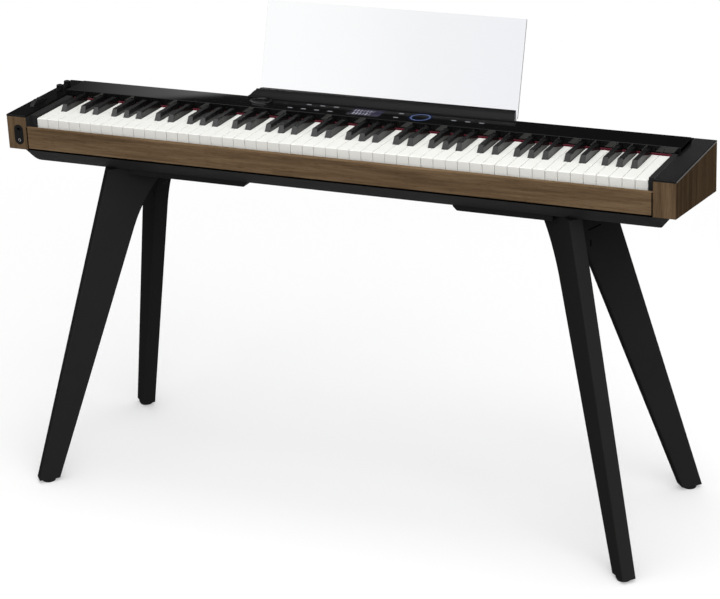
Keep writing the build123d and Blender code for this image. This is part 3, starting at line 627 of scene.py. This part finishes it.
# %% Turned grids
def turned_grid(profile, count, ripple=None):
    """Turned surface: point(i, j) = (r cos a, r sin a, h), where (r, h) is profile point i,
    a is the j-th of count even angles, and ripple(r, h, a) is taken off the radius."""
    radius, height = np.asarray(profile, float).T
    angle = np.linspace(0.0, 2.0 * np.pi, count, endpoint=False)
    radius = np.repeat(radius[:, None], count, axis=1)
    height = np.repeat(height[:, None], count, axis=1)
    angle = np.broadcast_to(angle, radius.shape)
    if ripple is not None:
        radius = radius - ripple(radius, height, angle)
    return np.stack([radius * np.cos(angle), radius * np.sin(angle), height], axis=-1)


def set_down(grid, origins, axes):
    """Copies of a grid: local Z goes along each axis and the local origin to each place."""
    origins = np.asarray(origins, float).reshape(-1, 3)
    axes = np.broadcast_to(np.asarray(axes, float), origins.shape)
    axes = axes / np.linalg.norm(axes, axis=1, keepdims=True)
    helper = np.where(np.abs(axes[:, 2:]) > 0.9, [[1.0, 0.0, 0.0]], [[0.0, 0.0, 1.0]])
    first = np.cross(helper, axes)
    first = first / np.linalg.norm(first, axis=1, keepdims=True)
    second = np.cross(axes, first)
    basis = np.stack([first, second, axes], axis=1)
    return np.einsum("ijk,nkl->nijl", grid, basis) + origins[:, None, None, :]


print("test disc points", turned_grid([(0.0, 0.0), (1.0, 0.0)], 8).shape)

# %% Pieces from grids
GRID_SHARP = math.radians(40.0)


def grid_quads(shape, ring=True):
    """Faces over (copies, rows, columns) points: quads between neighbours, closed round if ring."""
    index = np.arange(np.prod(shape)).reshape(shape)
    beside = np.roll(index, -1, axis=2)
    last = shape[2] if ring else shape[2] - 1
    corners = [index[:, :-1], beside[:, :-1], beside[:, 1:], index[:, 1:]]
    return np.stack(corners, axis=-1)[:, :, :last].reshape(-1, 4)


def grid_piece(name, grids, material, body, ring=True):
    """Mesh over (copies, rows, columns, 3) points, riding on a body."""
    mesh = bpy.data.meshes.new(name)
    faces = grid_quads(grids.shape[:3], ring)
    mesh.from_pydata(grids.reshape(-1, 3).tolist(), [], faces.tolist())
    work = bmesh.new()
    work.from_mesh(mesh)
    bmesh.ops.remove_doubles(work, verts=work.verts, dist=1e-7)
    bmesh.ops.recalc_face_normals(work, faces=work.faces)
    work.to_mesh(mesh)
    work.free()
    mesh.shade_smooth()
    mesh.set_sharp_from_angle(angle=GRID_SHARP)
    piece = bpy.data.objects.new(name, mesh)
    bpy.context.scene.collection.objects.link(piece)
    give(piece, material)
    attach(piece, body)
    print(name, "faces", len(mesh.polygons))
    return piece


def arc_points(centre, radius, start, end, count):
    """Profile points on a quarter or other arc, angles in degrees."""
    angle = np.radians(np.linspace(start, end, count))
    return np.stack([centre[0] + radius * np.cos(angle), centre[1] + radius * np.sin(angle)], axis=1)


print("grid edges count as sharp over", round(math.degrees(GRID_SHARP)), "degrees")

# %% Volume dial
DIAL_FLUTES = 72
dial_low, dial_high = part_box("volume_dial")
dial_middle = (dial_low + dial_high) / 2
dial_top = dial_high.z - panel_high.z
dial_radius = (dial_high.x - dial_low.x) / 2
dial_profile = np.vstack([
    [[0.0, -0.0110], [0.0030, -0.0110], [0.0030, 0.0004], [dial_radius - 0.0004, 0.0004]],
    [[dial_radius, 0.0008], [dial_radius - 0.0002, 0.0012], [dial_radius - 0.0006, dial_top - 0.0013]],
    arc_points((dial_radius - 0.0018, dial_top - 0.0012), 0.0012, 0, 90, 7),
    [[dial_radius - 0.0055, dial_top - 0.0003], [dial_radius - 0.0062, dial_top - 0.0006]],
    [[dial_radius - 0.0070, dial_top - 0.0016], [0.0100, dial_top - 0.0022], [0.0, dial_top - 0.0024]],
])


def dial_grip(radius, height, angle):
    """Fine flutes round the grip: 0.25 mm deep, only on the upright wall."""
    on_wall = (radius > dial_radius - 0.0010) & (height > 0.0010) & (height < dial_top - 0.0010)
    return np.where(on_wall, 0.00025 * (0.5 + 0.5 * np.cos(DIAL_FLUTES * angle)), 0.0)


UPWARD = (0, 0, 1)
dial_place = (dial_middle.x, dial_middle.y, panel_high.z)
dial_grid = set_down(turned_grid(dial_profile, 4 * DIAL_FLUTES, dial_grip), dial_place, UPWARD)
dial = grid_piece("volume_dial_turned", dial_grid, dial_black, "volume_dial")
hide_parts("volume_dial")

# %% Knobs
KNOB_FLUTES = 40


def knob_grip(radius, height, angle):
    """Flutes 0.4 mm deep on the wall above the skirt."""
    flutes = 0.0004 * np.cos(KNOB_FLUTES / 2 * angle) ** 2
    return np.where((radius > 0.0055) & (height > 0.002), flutes, 0.0)


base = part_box("left_cheek_cap")[1].z
for node in ("front_knob", "rear_knob"):
    knob_low, knob_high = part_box(node)
    knob_middle = (knob_low + knob_high) / 2
    knob_radius = (knob_high.x - knob_low.x) / 2
    tall = knob_high.z - base
    knob_profile = np.vstack([
        [[0.0, -0.0120], [0.0020, -0.0120], [0.0020, 0.0004], [knob_radius - 0.0003, 0.0004]],
        [[knob_radius, 0.0008], [knob_radius - 0.0002, 0.0030], [knob_radius - 0.0007, tall - 0.0014]],
        arc_points((knob_radius - 0.0019, tall - 0.0012), 0.0012, 0, 90, 6),
        [[knob_radius - 0.0030, tall - 0.0004], [0.0, tall - 0.0006]],
    ])
    knob_place = (knob_middle.x, knob_middle.y, base)
    knob_grid = set_down(turned_grid(knob_profile, 4 * KNOB_FLUTES, knob_grip), knob_place, UPWARD)
    knob = grid_piece(node + "_turned", knob_grid, dial_black, node)
    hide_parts(node)

# %% Pitch wheel
wheel_low, wheel_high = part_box("pitch_wheel")
WHEEL_RADIUS = 0.032
wheel_half = (wheel_high.x - wheel_low.x) / 2
wheel_middle = (wheel_low + wheel_high) / 2
wheel_axis = (wheel_middle.x, wheel_middle.y, wheel_low.z + WHEEL_RADIUS)
wheel_profile = np.vstack([
    [[0.00305, -wheel_half], [0.0300, -wheel_half]],
    arc_points((WHEEL_RADIUS - 0.0012, -wheel_half + 0.0012), 0.0012, -90, 0, 5),
    arc_points((WHEEL_RADIUS - 0.0012, wheel_half - 0.0012), 0.0012, 0, 90, 5),
    [[0.0300, wheel_half], [0.00305, wheel_half], [0.00305, -wheel_half]],
])


WHEEL_TOP = np.pi / 2
WHEEL_RIBS = 72


def wheel_ribs(radius, height, angle):
    """Ribs 0.35 mm deep round the rim and one thumb notch 2.4 mm deep at the top."""
    away = np.angle(np.exp(1j * (angle - WHEEL_TOP)))
    rim = np.clip((radius - 0.026) / 0.005, 0.0, 1.0)
    ribs = 0.00035 * np.cos(WHEEL_RIBS / 2 * angle) ** 2
    return rim * (0.0024 * np.exp(-(away / 0.15) ** 2) + ribs)


wheel_points = turned_grid(wheel_profile, 4 * WHEEL_RIBS, wheel_ribs)
wheel_points = np.stack([wheel_points[..., 2], wheel_points[..., 0], wheel_points[..., 1]], axis=-1)
wheel = grid_piece(
    "pitch_wheel_ribbed", (wheel_points + wheel_axis)[None], wheel_black, "pitch_wheel"
)
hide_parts("pitch_wheel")

# %% Feet
foot_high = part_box("foot_glides")[1]
FOOT_RADIUS = 0.015
foot_x = foot_high.x - FOOT_RADIUS
foot_y = foot_high.y - FOOT_RADIUS
foot_places = [(sx * foot_x, sy * foot_y, 0.0) for sx in (-1, 1) for sy in (-1, 1)]
foot_profile = np.vstack([
    [[0.0, 0.0], [0.0105, 0.0]],
    arc_points((0.0118, 0.0016), 0.0016, -90, 0, 5),
    [[0.0142, 0.0038], [FOOT_RADIUS, 0.0048], [FOOT_RADIUS, foot_high.z], [0.0, foot_high.z]],
])
feet_grid = set_down(turned_grid(foot_profile, 40), foot_places, UPWARD)
feet = grid_piece("feet_turned", feet_grid, foot_rubber, "piano")
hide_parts("foot_glides")

# %% [markdown]
# ## Rims and screws
# Each headphone jack has a dark rim round its mouth; the lower one shows its steel sleeve. On each
# leg two socket screws go through the curved inner edge near the head, and a slanted joint line and
# a short upright slot show on the inner face. Lines that fine are cheaper as thin dark strips than
# as cuts. The case is closed by small screws in its underside, along the rear edge.

# %% Jack rims
plate_low, plate_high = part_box("jack_plate")
plate_x = (plate_low.x + plate_high.x) / 2
plate_z = (plate_low.z + plate_high.z) / 2
rim_profile = np.vstack([
    [[0.0033, -0.0010], [0.0033, 0.0004]],
    arc_points((0.0039, 0.0004), 0.0006, 180, 0, 7),
    [[0.0046, -0.0010], [0.0033, -0.0010]],
])
JACK_OFF = 0.011
rim_places = [(plate_x, plate_low.y, plate_z + side * JACK_OFF) for side in (-1, 1)]
FORWARD = (0, -1, 0)
rim_grid = set_down(turned_grid(rim_profile, 48), rim_places, FORWARD)
grid_piece("jack_rims", rim_grid, jack_black, "piano")
sleeve_profile = np.vstack([
    [[0.0022, -0.0060], [0.0022, -0.0002]],
    arc_points((0.0026, -0.0002), 0.0004, 180, 0, 5),
    [[0.0030, -0.0060], [0.0022, -0.0060]],
])
sleeve_grid = set_down(turned_grid(sleeve_profile, 40), rim_places[:1], FORWARD)
grid_piece("jack_sleeves", sleeve_grid, rod_steel, "piano")

# %% Leg screws
LEG_CORNER = np.array([0.618, 0.213])
LEG_ANGLE = math.radians(42.0)
ARC_MIDDLE = np.array([-0.51079, 0.40581])
ARC_RADIUS = 0.29749
screw_profile = np.vstack([
    [[0.0, -0.0012], [0.0023, -0.0012], [0.0024, 0.0009]],
    [[0.0030, 0.0014], [0.0040, 0.0012], [0.0048, 0.0005], [0.0050, -0.0012], [0.0, -0.0012]],
])
screw_heights = np.array([0.548, 0.570])
screw_angles = np.arcsin((screw_heights - ARC_MIDDLE[1]) / ARC_RADIUS)
screw_outward = ARC_MIDDLE[0] + ARC_RADIUS * np.cos(screw_angles)
signs = np.array([(sx, sy) for sx in (-1.0, 1.0) for sy in (-1.0, 1.0)])
leg_out = signs * [math.cos(LEG_ANGLE), math.sin(LEG_ANGLE)]
screw_plan = signs[:, None, :] * LEG_CORNER + leg_out[:, None, :] * screw_outward[None, :, None]


def with_height(plan, height):
    """Points from places in plan and the heights that go with them."""
    return np.concatenate([plan, np.broadcast_to(height, plan.shape[:-1] + (1,))], axis=-1)


screw_places = with_height(screw_plan, screw_heights[None, :, None]).reshape(-1, 3)
inward = -leg_out[:, None, :] * np.cos(screw_angles)[None, :, None]
screw_axes = with_height(inward, -np.sin(screw_angles)[None, :, None]).reshape(-1, 3)
screw_grid = set_down(turned_grid(screw_profile, 24), screw_places, screw_axes)
grid_piece("leg_screws", screw_grid, plate_black, "piano")

# %% Leg joints
LEG_HALF = 0.0135
SHEET_OFF = 0.0001
leg_side = signs * [math.sin(LEG_ANGLE), -math.cos(LEG_ANGLE)]


def leg_line(start, end, width):
    """Flat strip on the inner face of each leg: start and end are (outward, height) in metres."""
    ends = np.array([start, end])
    along = (ends[1] - ends[0]) / np.linalg.norm(ends[1] - ends[0])
    offset = width / 2 * np.array([[-along[1], along[0]]])
    rows = np.stack([ends - offset, ends + offset])
    plan = signs * LEG_CORNER + leg_side * (LEG_HALF + SHEET_OFF)
    plan = plan[:, None, None, :] + leg_out[:, None, None, :] * rows[None, ..., :1]
    return with_height(plan, rows[None, ..., 1:])


slit_grid = np.concatenate([
    leg_line((-0.235, 0.565), (-0.210, 0.5731), 0.0024),
    leg_line((-0.230, 0.533), (-0.230, 0.546), 0.0022),
])
grid_piece("leg_slits", slit_grid, gap_black, "piano", ring=False)

# %% Case screws
CASE_SCREWS = 7
CASE_SCREW_X = 0.58
CASE_SCREW_Y = 0.108
CASE_SCREW_SCALE = 0.75
case_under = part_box("bottom_case")[0].z
back_x = np.linspace(-CASE_SCREW_X, CASE_SCREW_X, CASE_SCREWS)
case_screw_places = np.array([(x, CASE_SCREW_Y, case_under) for x in back_x])
case_screw_turned = turned_grid(screw_profile * CASE_SCREW_SCALE, 20)
case_screw_grid = set_down(case_screw_turned, case_screw_places, (0, 0, -1))
grid_piece("case_screws", case_screw_grid, plate_black, "piano")

# %% [markdown]
# ### Shadow lines
# Thin dark strips stand for the open joints at the ends and foot of the slip. The cheeks' inner sides
# are lined in black, since no wood shows there. Both are flat sheets just outside the surface.

# %% Shadow lines round the slip and black inner sides of the cheeks
slip_low, slip_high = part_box("key_slip")
LINE_WIDTH = 0.0022
LINE_FOOT = 0.0034
LINE_DROP = 0.0005


def upright_sheets(name, boxes, material):
    """Flat upright rectangles: each box is two opposite corners, level in X or in Y."""
    low, high = np.moveaxis(np.asarray(boxes, float), 1, 0)
    corners = np.empty((len(low), 2, 2, 3))
    corners[:, :, 0, :2] = low[:, None, :2]
    corners[:, :, 1, :2] = high[:, None, :2]
    corners[:, 0, :, 2] = low[:, None, 2]
    corners[:, 1, :, 2] = high[:, None, 2]
    grid_piece(name, corners, material, "piano", ring=False)


line_y = slip_low.y - SHEET_OFF
line_top = slip_high.z - LINE_DROP
upright_sheets("slip_lines", [
    ((slip_low.x, line_y, slip_low.z), (slip_low.x + LINE_WIDTH, line_y, line_top)),
    ((slip_high.x - LINE_WIDTH, line_y, slip_low.z), (slip_high.x, line_y, line_top)),
    ((slip_low.x, line_y, slip_low.z), (slip_high.x, line_y, slip_low.z + LINE_FOOT)),
], gap_black)
cheek_low, cheek_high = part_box("left_cheek")
CHEEK_FRONT_FOOT = 0.666
LINER_INSET = 0.0012
liner_front = cheek_low.y + LINER_INSET
liner_rear = cheek_high.y - LINER_INSET
liner_side = np.array([
    [(liner_front, CHEEK_FRONT_FOOT), (liner_rear, cheek_low.z)],
    [(liner_front, cheek_high.z), (liner_rear, cheek_high.z)],
])
liner_x = np.full((2, 2, 1), cheek_high.x + SHEET_OFF)
liners = np.stack([np.concatenate([side * liner_x, liner_side], axis=-1) for side in (-1.0, 1.0)])
grid_piece("cheek_liners", liners, case_black, "piano", ring=False)

# %% [markdown]
# ## Felt strip and touch marks
# The felt shows as a thin red line behind the keys. Its front edge is not quite straight, as cut
# felt never is, so its profile is carried along the keyboard with a very small waver. The touch
# marks are low pillows with rounded ends, flush enough to look printed.

# %% Felt strip
felt_low, felt_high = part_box("name_felt")
FELT_PRESS = Vector((0.0, 0.0, 0.0022))
FELT_WAVER = 0.00008
FELT_STEPS = 900


def strip_grid(low, high, waver, count):
    """Rounded rectangle carried along X: the front face waves in Y by two sines of different length."""
    across = np.array([0.0, 0.12, 0.3, 0.5, 0.7, 0.88, 1.0])
    x = np.linspace(low.x, high.x, count)
    z_front = low.z + (high.z - low.z) * across
    bulge = 0.0006 * (1.0 - (2.0 * across - 1.0) ** 2)
    wave = waver * (np.sin(x * 190.0) + 0.6 * np.sin(x * 530.0 + 1.3))
    y_front = low.y + 0.0008 - bulge[None, :] + wave[:, None]
    y_loop = np.concatenate([y_front, np.full((count, 2), high.y)], axis=1)
    z_loop = np.broadcast_to(np.concatenate([z_front, [high.z, low.z]]), y_loop.shape)
    x_loop = np.broadcast_to(x[:, None], y_loop.shape)
    loop = np.stack([x_loop, y_loop, z_loop], axis=-1)
    first = np.broadcast_to(loop[:1].mean(axis=1, keepdims=True), loop[:1].shape)
    last = np.broadcast_to(loop[-1:].mean(axis=1, keepdims=True), loop[-1:].shape)
    return np.concatenate([first, loop, last], axis=0)


felt_grid = strip_grid(felt_low, felt_high - FELT_PRESS, FELT_WAVER, FELT_STEPS)[None]
felt = grid_piece("felt_strip", felt_grid, red_felt, "piano")
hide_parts("name_felt")

# %% Touch marks
MARK_LENGTH = 0.0105
MARK_DEPTH = 0.0038
MARK_HEIGHT = 0.00012
mark_spots = np.array([
    (-0.1196, 0.0833), (-0.0912, 0.0833), (-0.0626, 0.0833),
    (-0.1473, 0.0557), (-0.1189, 0.0557), (-0.0913, 0.0557), (-0.0634, 0.0557),
    (0.0723, 0.0814), (0.0715, 0.0563),
    (0.1830, 0.0695), (0.2108, 0.0695), (0.2383, 0.0695),
])


def mark_grid(length, depth, height):
    """Pillow with rounded ends: a stadium outline shrunk to its middle in four rings."""
    angle = np.linspace(0.0, 2.0 * np.pi, 32, endpoint=False)
    straight = (length - depth) / 2
    outline_x = depth / 2 * np.cos(angle) + straight * np.sign(np.round(np.cos(angle), 6))
    outline_y = depth / 2 * np.sin(angle)
    share = np.array([1.0, 1.0, 0.92, 0.0])
    lift = np.array([-0.0003, height * 0.4, height, height])
    x = share[:, None] * outline_x
    y = share[:, None] * outline_y
    z = np.broadcast_to(lift[:, None], x.shape)
    return np.stack([x, y, z], axis=-1)


mark_places = np.column_stack([mark_spots, np.full(len(mark_spots), panel_high.z)])
marks = mark_grid(MARK_LENGTH, MARK_DEPTH, MARK_HEIGHT)[None] + mark_places[:, None, None, :]
grid_piece("touch_marks", marks, mark_light, "piano")

# %% [markdown]
# ## Finishes on the remaining construction pieces
# What is left shows little or sits inside. Those pieces keep their construction meshes and only get
# a finish of their own.

# %% Finishes by node
kept = {
    "display_window": display_lit, "touch_ring": ring_light, "jack_plate": jack_black,
    "headphone_jacks": jack_black, "wheel_axle": rod_steel, "rear_sockets": jack_black,
    "key_frame": frame_zinc, "pivot_rods": rod_steel, "contact_board": board_green,
    "main_board": board_green, "speakers": speaker_black, "rotary_encoders": jack_black,
    "stand_bolts": rod_steel,
}
kept.update({name: hammer_paint for name in nodes if name.endswith("_hammers")})
for name, material in kept.items():
    give(nodes[name], material)
print("construction pieces with a finish", len(kept))

# %% [markdown]
# ## Floor, backdrop and light
# The photograph has a white ground with soft grey shadows under the feet. The floor is a plain pale
# disc. Near the piano it is lit and takes the shadow, and it fades to pure white further out.
# The sky is a soft light that is stronger from the front. What reflects in gloss is a pale backdrop
# behind the piano that ends at a low height, which gives the panel its paler left part. Two soft
# boxes, one at the right in front and one overhead, give the keys and the wood their direction.

# %% Floor
FLOOR_RADIUS = 40.0
FLOOR_RINGS = 24
FLOOR_SPOKES = 96
FLOOR_GLOW = 0.30
FLOOR_SEEN = grey(0.70)
FLOOR_BOUNCE = grey(0.20)
ring_share = (np.arange(FLOOR_RINGS + 1) / FLOOR_RINGS) ** 2
floor_profile = np.column_stack([ring_share * FLOOR_RADIUS, np.zeros(FLOOR_RINGS + 1)])
floor_grid = turned_grid(floor_profile, FLOOR_SPOKES)
floor_faces = grid_quads((1, FLOOR_RINGS + 1, FLOOR_SPOKES))[:, ::-1]
floor_mesh = bpy.data.meshes.new("floor")
floor_mesh.from_pydata(floor_grid.reshape(-1, 3).tolist(), [], floor_faces.tolist())
floor = bpy.data.objects.new("floor", floor_mesh)
bpy.context.scene.collection.objects.link(floor)
print("floor disc", len(floor_mesh.polygons), "faces")

# %% Floor finish
FADE_START = 1.0
FADE_END = 2.4
floor_white, floor_tree, floor_shader = new_finish("floor_white")
floor_rays = floor_tree.nodes.new("ShaderNodeLightPath").outputs
seen = maths(floor_tree, "MAXIMUM", floor_rays["Is Camera Ray"], floor_rays["Is Glossy Ray"])
seen = maths(floor_tree, "MAXIMUM", seen, floor_rays["Is Transmission Ray"])
set_inputs(
    floor_shader, Base_Color=tint(floor_tree, seen, FLOOR_BOUNCE, FLOOR_SEEN),
    Roughness=1.0, Specular_IOR_Level=0.0,
)
floor_away = maths(floor_tree, "LENGTH", object_place(floor_tree), kind="VectorMath")
fade = add_node(floor_tree, "MapRange", Value=floor_away, From_Min=FADE_START, From_Max=FADE_END)
fade.interpolation_type = "SMOOTHSTEP"


def shader_choice(tree, mask, first, second):
    """First shader where the mask is 0, second where it is 1."""
    node = tree.nodes.new("ShaderNodeMixShader")
    for socket, source in zip(node.inputs, (mask, first, second)):
        feed(socket, source)
    return node.outputs["Shader"]


near_glow = add_node(floor_tree, "Emission", Strength=FLOOR_GLOW)
far_glow = add_node(floor_tree, "Emission", Strength=1.0)
near = floor_tree.nodes.new("ShaderNodeAddShader")
feed(near.inputs[0], floor_shader.outputs["BSDF"])
feed(near.inputs[1], near_glow.outputs["Emission"])
ground = shader_choice(
    floor_tree, fade.outputs["Result"], near.outputs["Shader"], far_glow.outputs["Emission"]
)
shown_floor = shader_choice(floor_tree, seen, floor_shader.outputs["BSDF"], ground)
set_inputs(node_of(floor_tree, "OUTPUT_MATERIAL"), Surface=shown_floor)
floor_mesh.materials.append(floor_white)
print("floor glow", FLOOR_GLOW)

# %% World
FILL_FRONT = 1.72
FILL_ROUND = 0.42
FILL_TOWARD = (0.36, -0.933, 0.0)
world = bpy.data.worlds.new("studio")
bpy.context.scene.world = world
world.use_nodes = True
sky_tree = world.node_tree
sky_tree.nodes.clear()
sky_place = sky_tree.nodes.new("ShaderNodeTexCoord").outputs["Generated"]
sky_x, sky_y, sky_z = add_node(sky_tree, "SeparateXYZ", Vector=sky_place).outputs
sky_rays = sky_tree.nodes.new("ShaderNodeLightPath").outputs
toward_front = maths(sky_tree, "DOT_PRODUCT", sky_place, FILL_TOWARD, kind="VectorMath")
facing = spread(sky_tree, toward_front, 0.0, 1.0)
fill = spread(sky_tree, maths(sky_tree, "MULTIPLY", facing, facing), FILL_ROUND, FILL_FRONT)
print("sky fill", FILL_ROUND, "to", FILL_FRONT)

# %% What gloss mirrors
BACKDROP_TOP = math.sin(math.radians(16.40))
BACKDROP_LEFT = (-0.513, -0.452)
BACKDROP_TONES = (0.06, 0.58)
ABOVE_BACKDROP = 0.012
BACKDROP_EDGE = 0.0015
BEHIND = (-0.10, 0.10)
AHEAD = (-0.30, -0.10)
FRONT_HIGH = (0.36, 0.44)
FRONT_HIGH_LIGHT = 1.9
FRONT_SIDE = (-0.435, -0.385)
FRONT_SIDE_LIGHT = 0.75
backdrop = spread(sky_tree, sky_x, *BACKDROP_TONES, *BACKDROP_LEFT)
behind = spread(sky_tree, sky_y, 0.0, 1.0, *BEHIND)
below = spread(sky_tree, sky_z, 1.0, ABOVE_BACKDROP, BACKDROP_TOP, BACKDROP_TOP + BACKDROP_EDGE)
rear_view = maths(sky_tree, "MULTIPLY", maths(sky_tree, "MULTIPLY", backdrop, behind), below)
ahead = spread(sky_tree, sky_y, 1.0, 0.0, *AHEAD)
high = spread(sky_tree, sky_z, 0.0, FRONT_HIGH_LIGHT, *FRONT_HIGH)
beside = spread(sky_tree, sky_x, FRONT_SIDE_LIGHT, 0.0, *FRONT_SIDE)
front_view = maths(sky_tree, "MULTIPLY", ahead, maths(sky_tree, "ADD", high, beside))
first_mirror = maths(sky_tree, "LESS_THAN", sky_rays["Glossy Depth"], 1.5)
front_once = maths(sky_tree, "MULTIPLY", front_view, first_mirror)
mirrored = maths(sky_tree, "ADD", rear_view, front_once)
print("backdrop up to", round(BACKDROP_TOP, 4))

# %% Sky by kind of ray
def sky_light(strength):
    """White background whose strength is a socket or a number."""
    light = add_node(sky_tree, "Background", Color=(1.0, 1.0, 1.0, 1.0), Strength=strength)
    return light.outputs["Background"]


bounces = maths(sky_tree, "ADD", sky_rays["Glossy Depth"], sky_rays["Diffuse Depth"])
straight = maths(sky_tree, "LESS_THAN", bounces, 0.5)
through = maths(sky_tree, "MULTIPLY", sky_rays["Is Transmission Ray"], straight)
open_view = maths(sky_tree, "ADD", sky_rays["Is Camera Ray"], through)
mirror_view = maths(sky_tree, "GREATER_THAN", sky_rays["Glossy Depth"], 0.5)
sky = shader_choice(sky_tree, mirror_view, sky_light(fill), sky_light(mirrored))
sky = shader_choice(sky_tree, open_view, sky, sky_light(1.0))
add_node(sky_tree, "OutputWorld", Surface=sky)
print("sky nodes", len(sky_tree.nodes))

# %% Soft lights
def soft_light(name, place, aim, size, power):
    """Rectangular soft box that faces a point."""
    data = bpy.data.lights.new(name, "AREA")
    data.shape = "RECTANGLE"
    data.size, data.size_y = size
    data.energy = power
    lamp = bpy.data.objects.new(name, data)
    toward = np.array(aim, float) - np.array(place, float)
    away = -toward / np.linalg.norm(toward)
    across = np.cross([0.0, 0.0, 1.0], away)
    across = across / np.linalg.norm(across)
    lamp.matrix_world = turned_to(across, np.cross(away, across), away, place)
    bpy.context.scene.collection.objects.link(lamp)


soft_light("front_box", place=(2.6, -3.0, 4.6), aim=(0.0, 0.0, 0.7), size=(4.0, 3.5), power=105.0)
soft_light("top_box", place=(0.0, 0.0, 4.4), aim=(0.0, 0.01, 0.6), size=(4.0, 3.0), power=82.0)
print("two soft boxes")
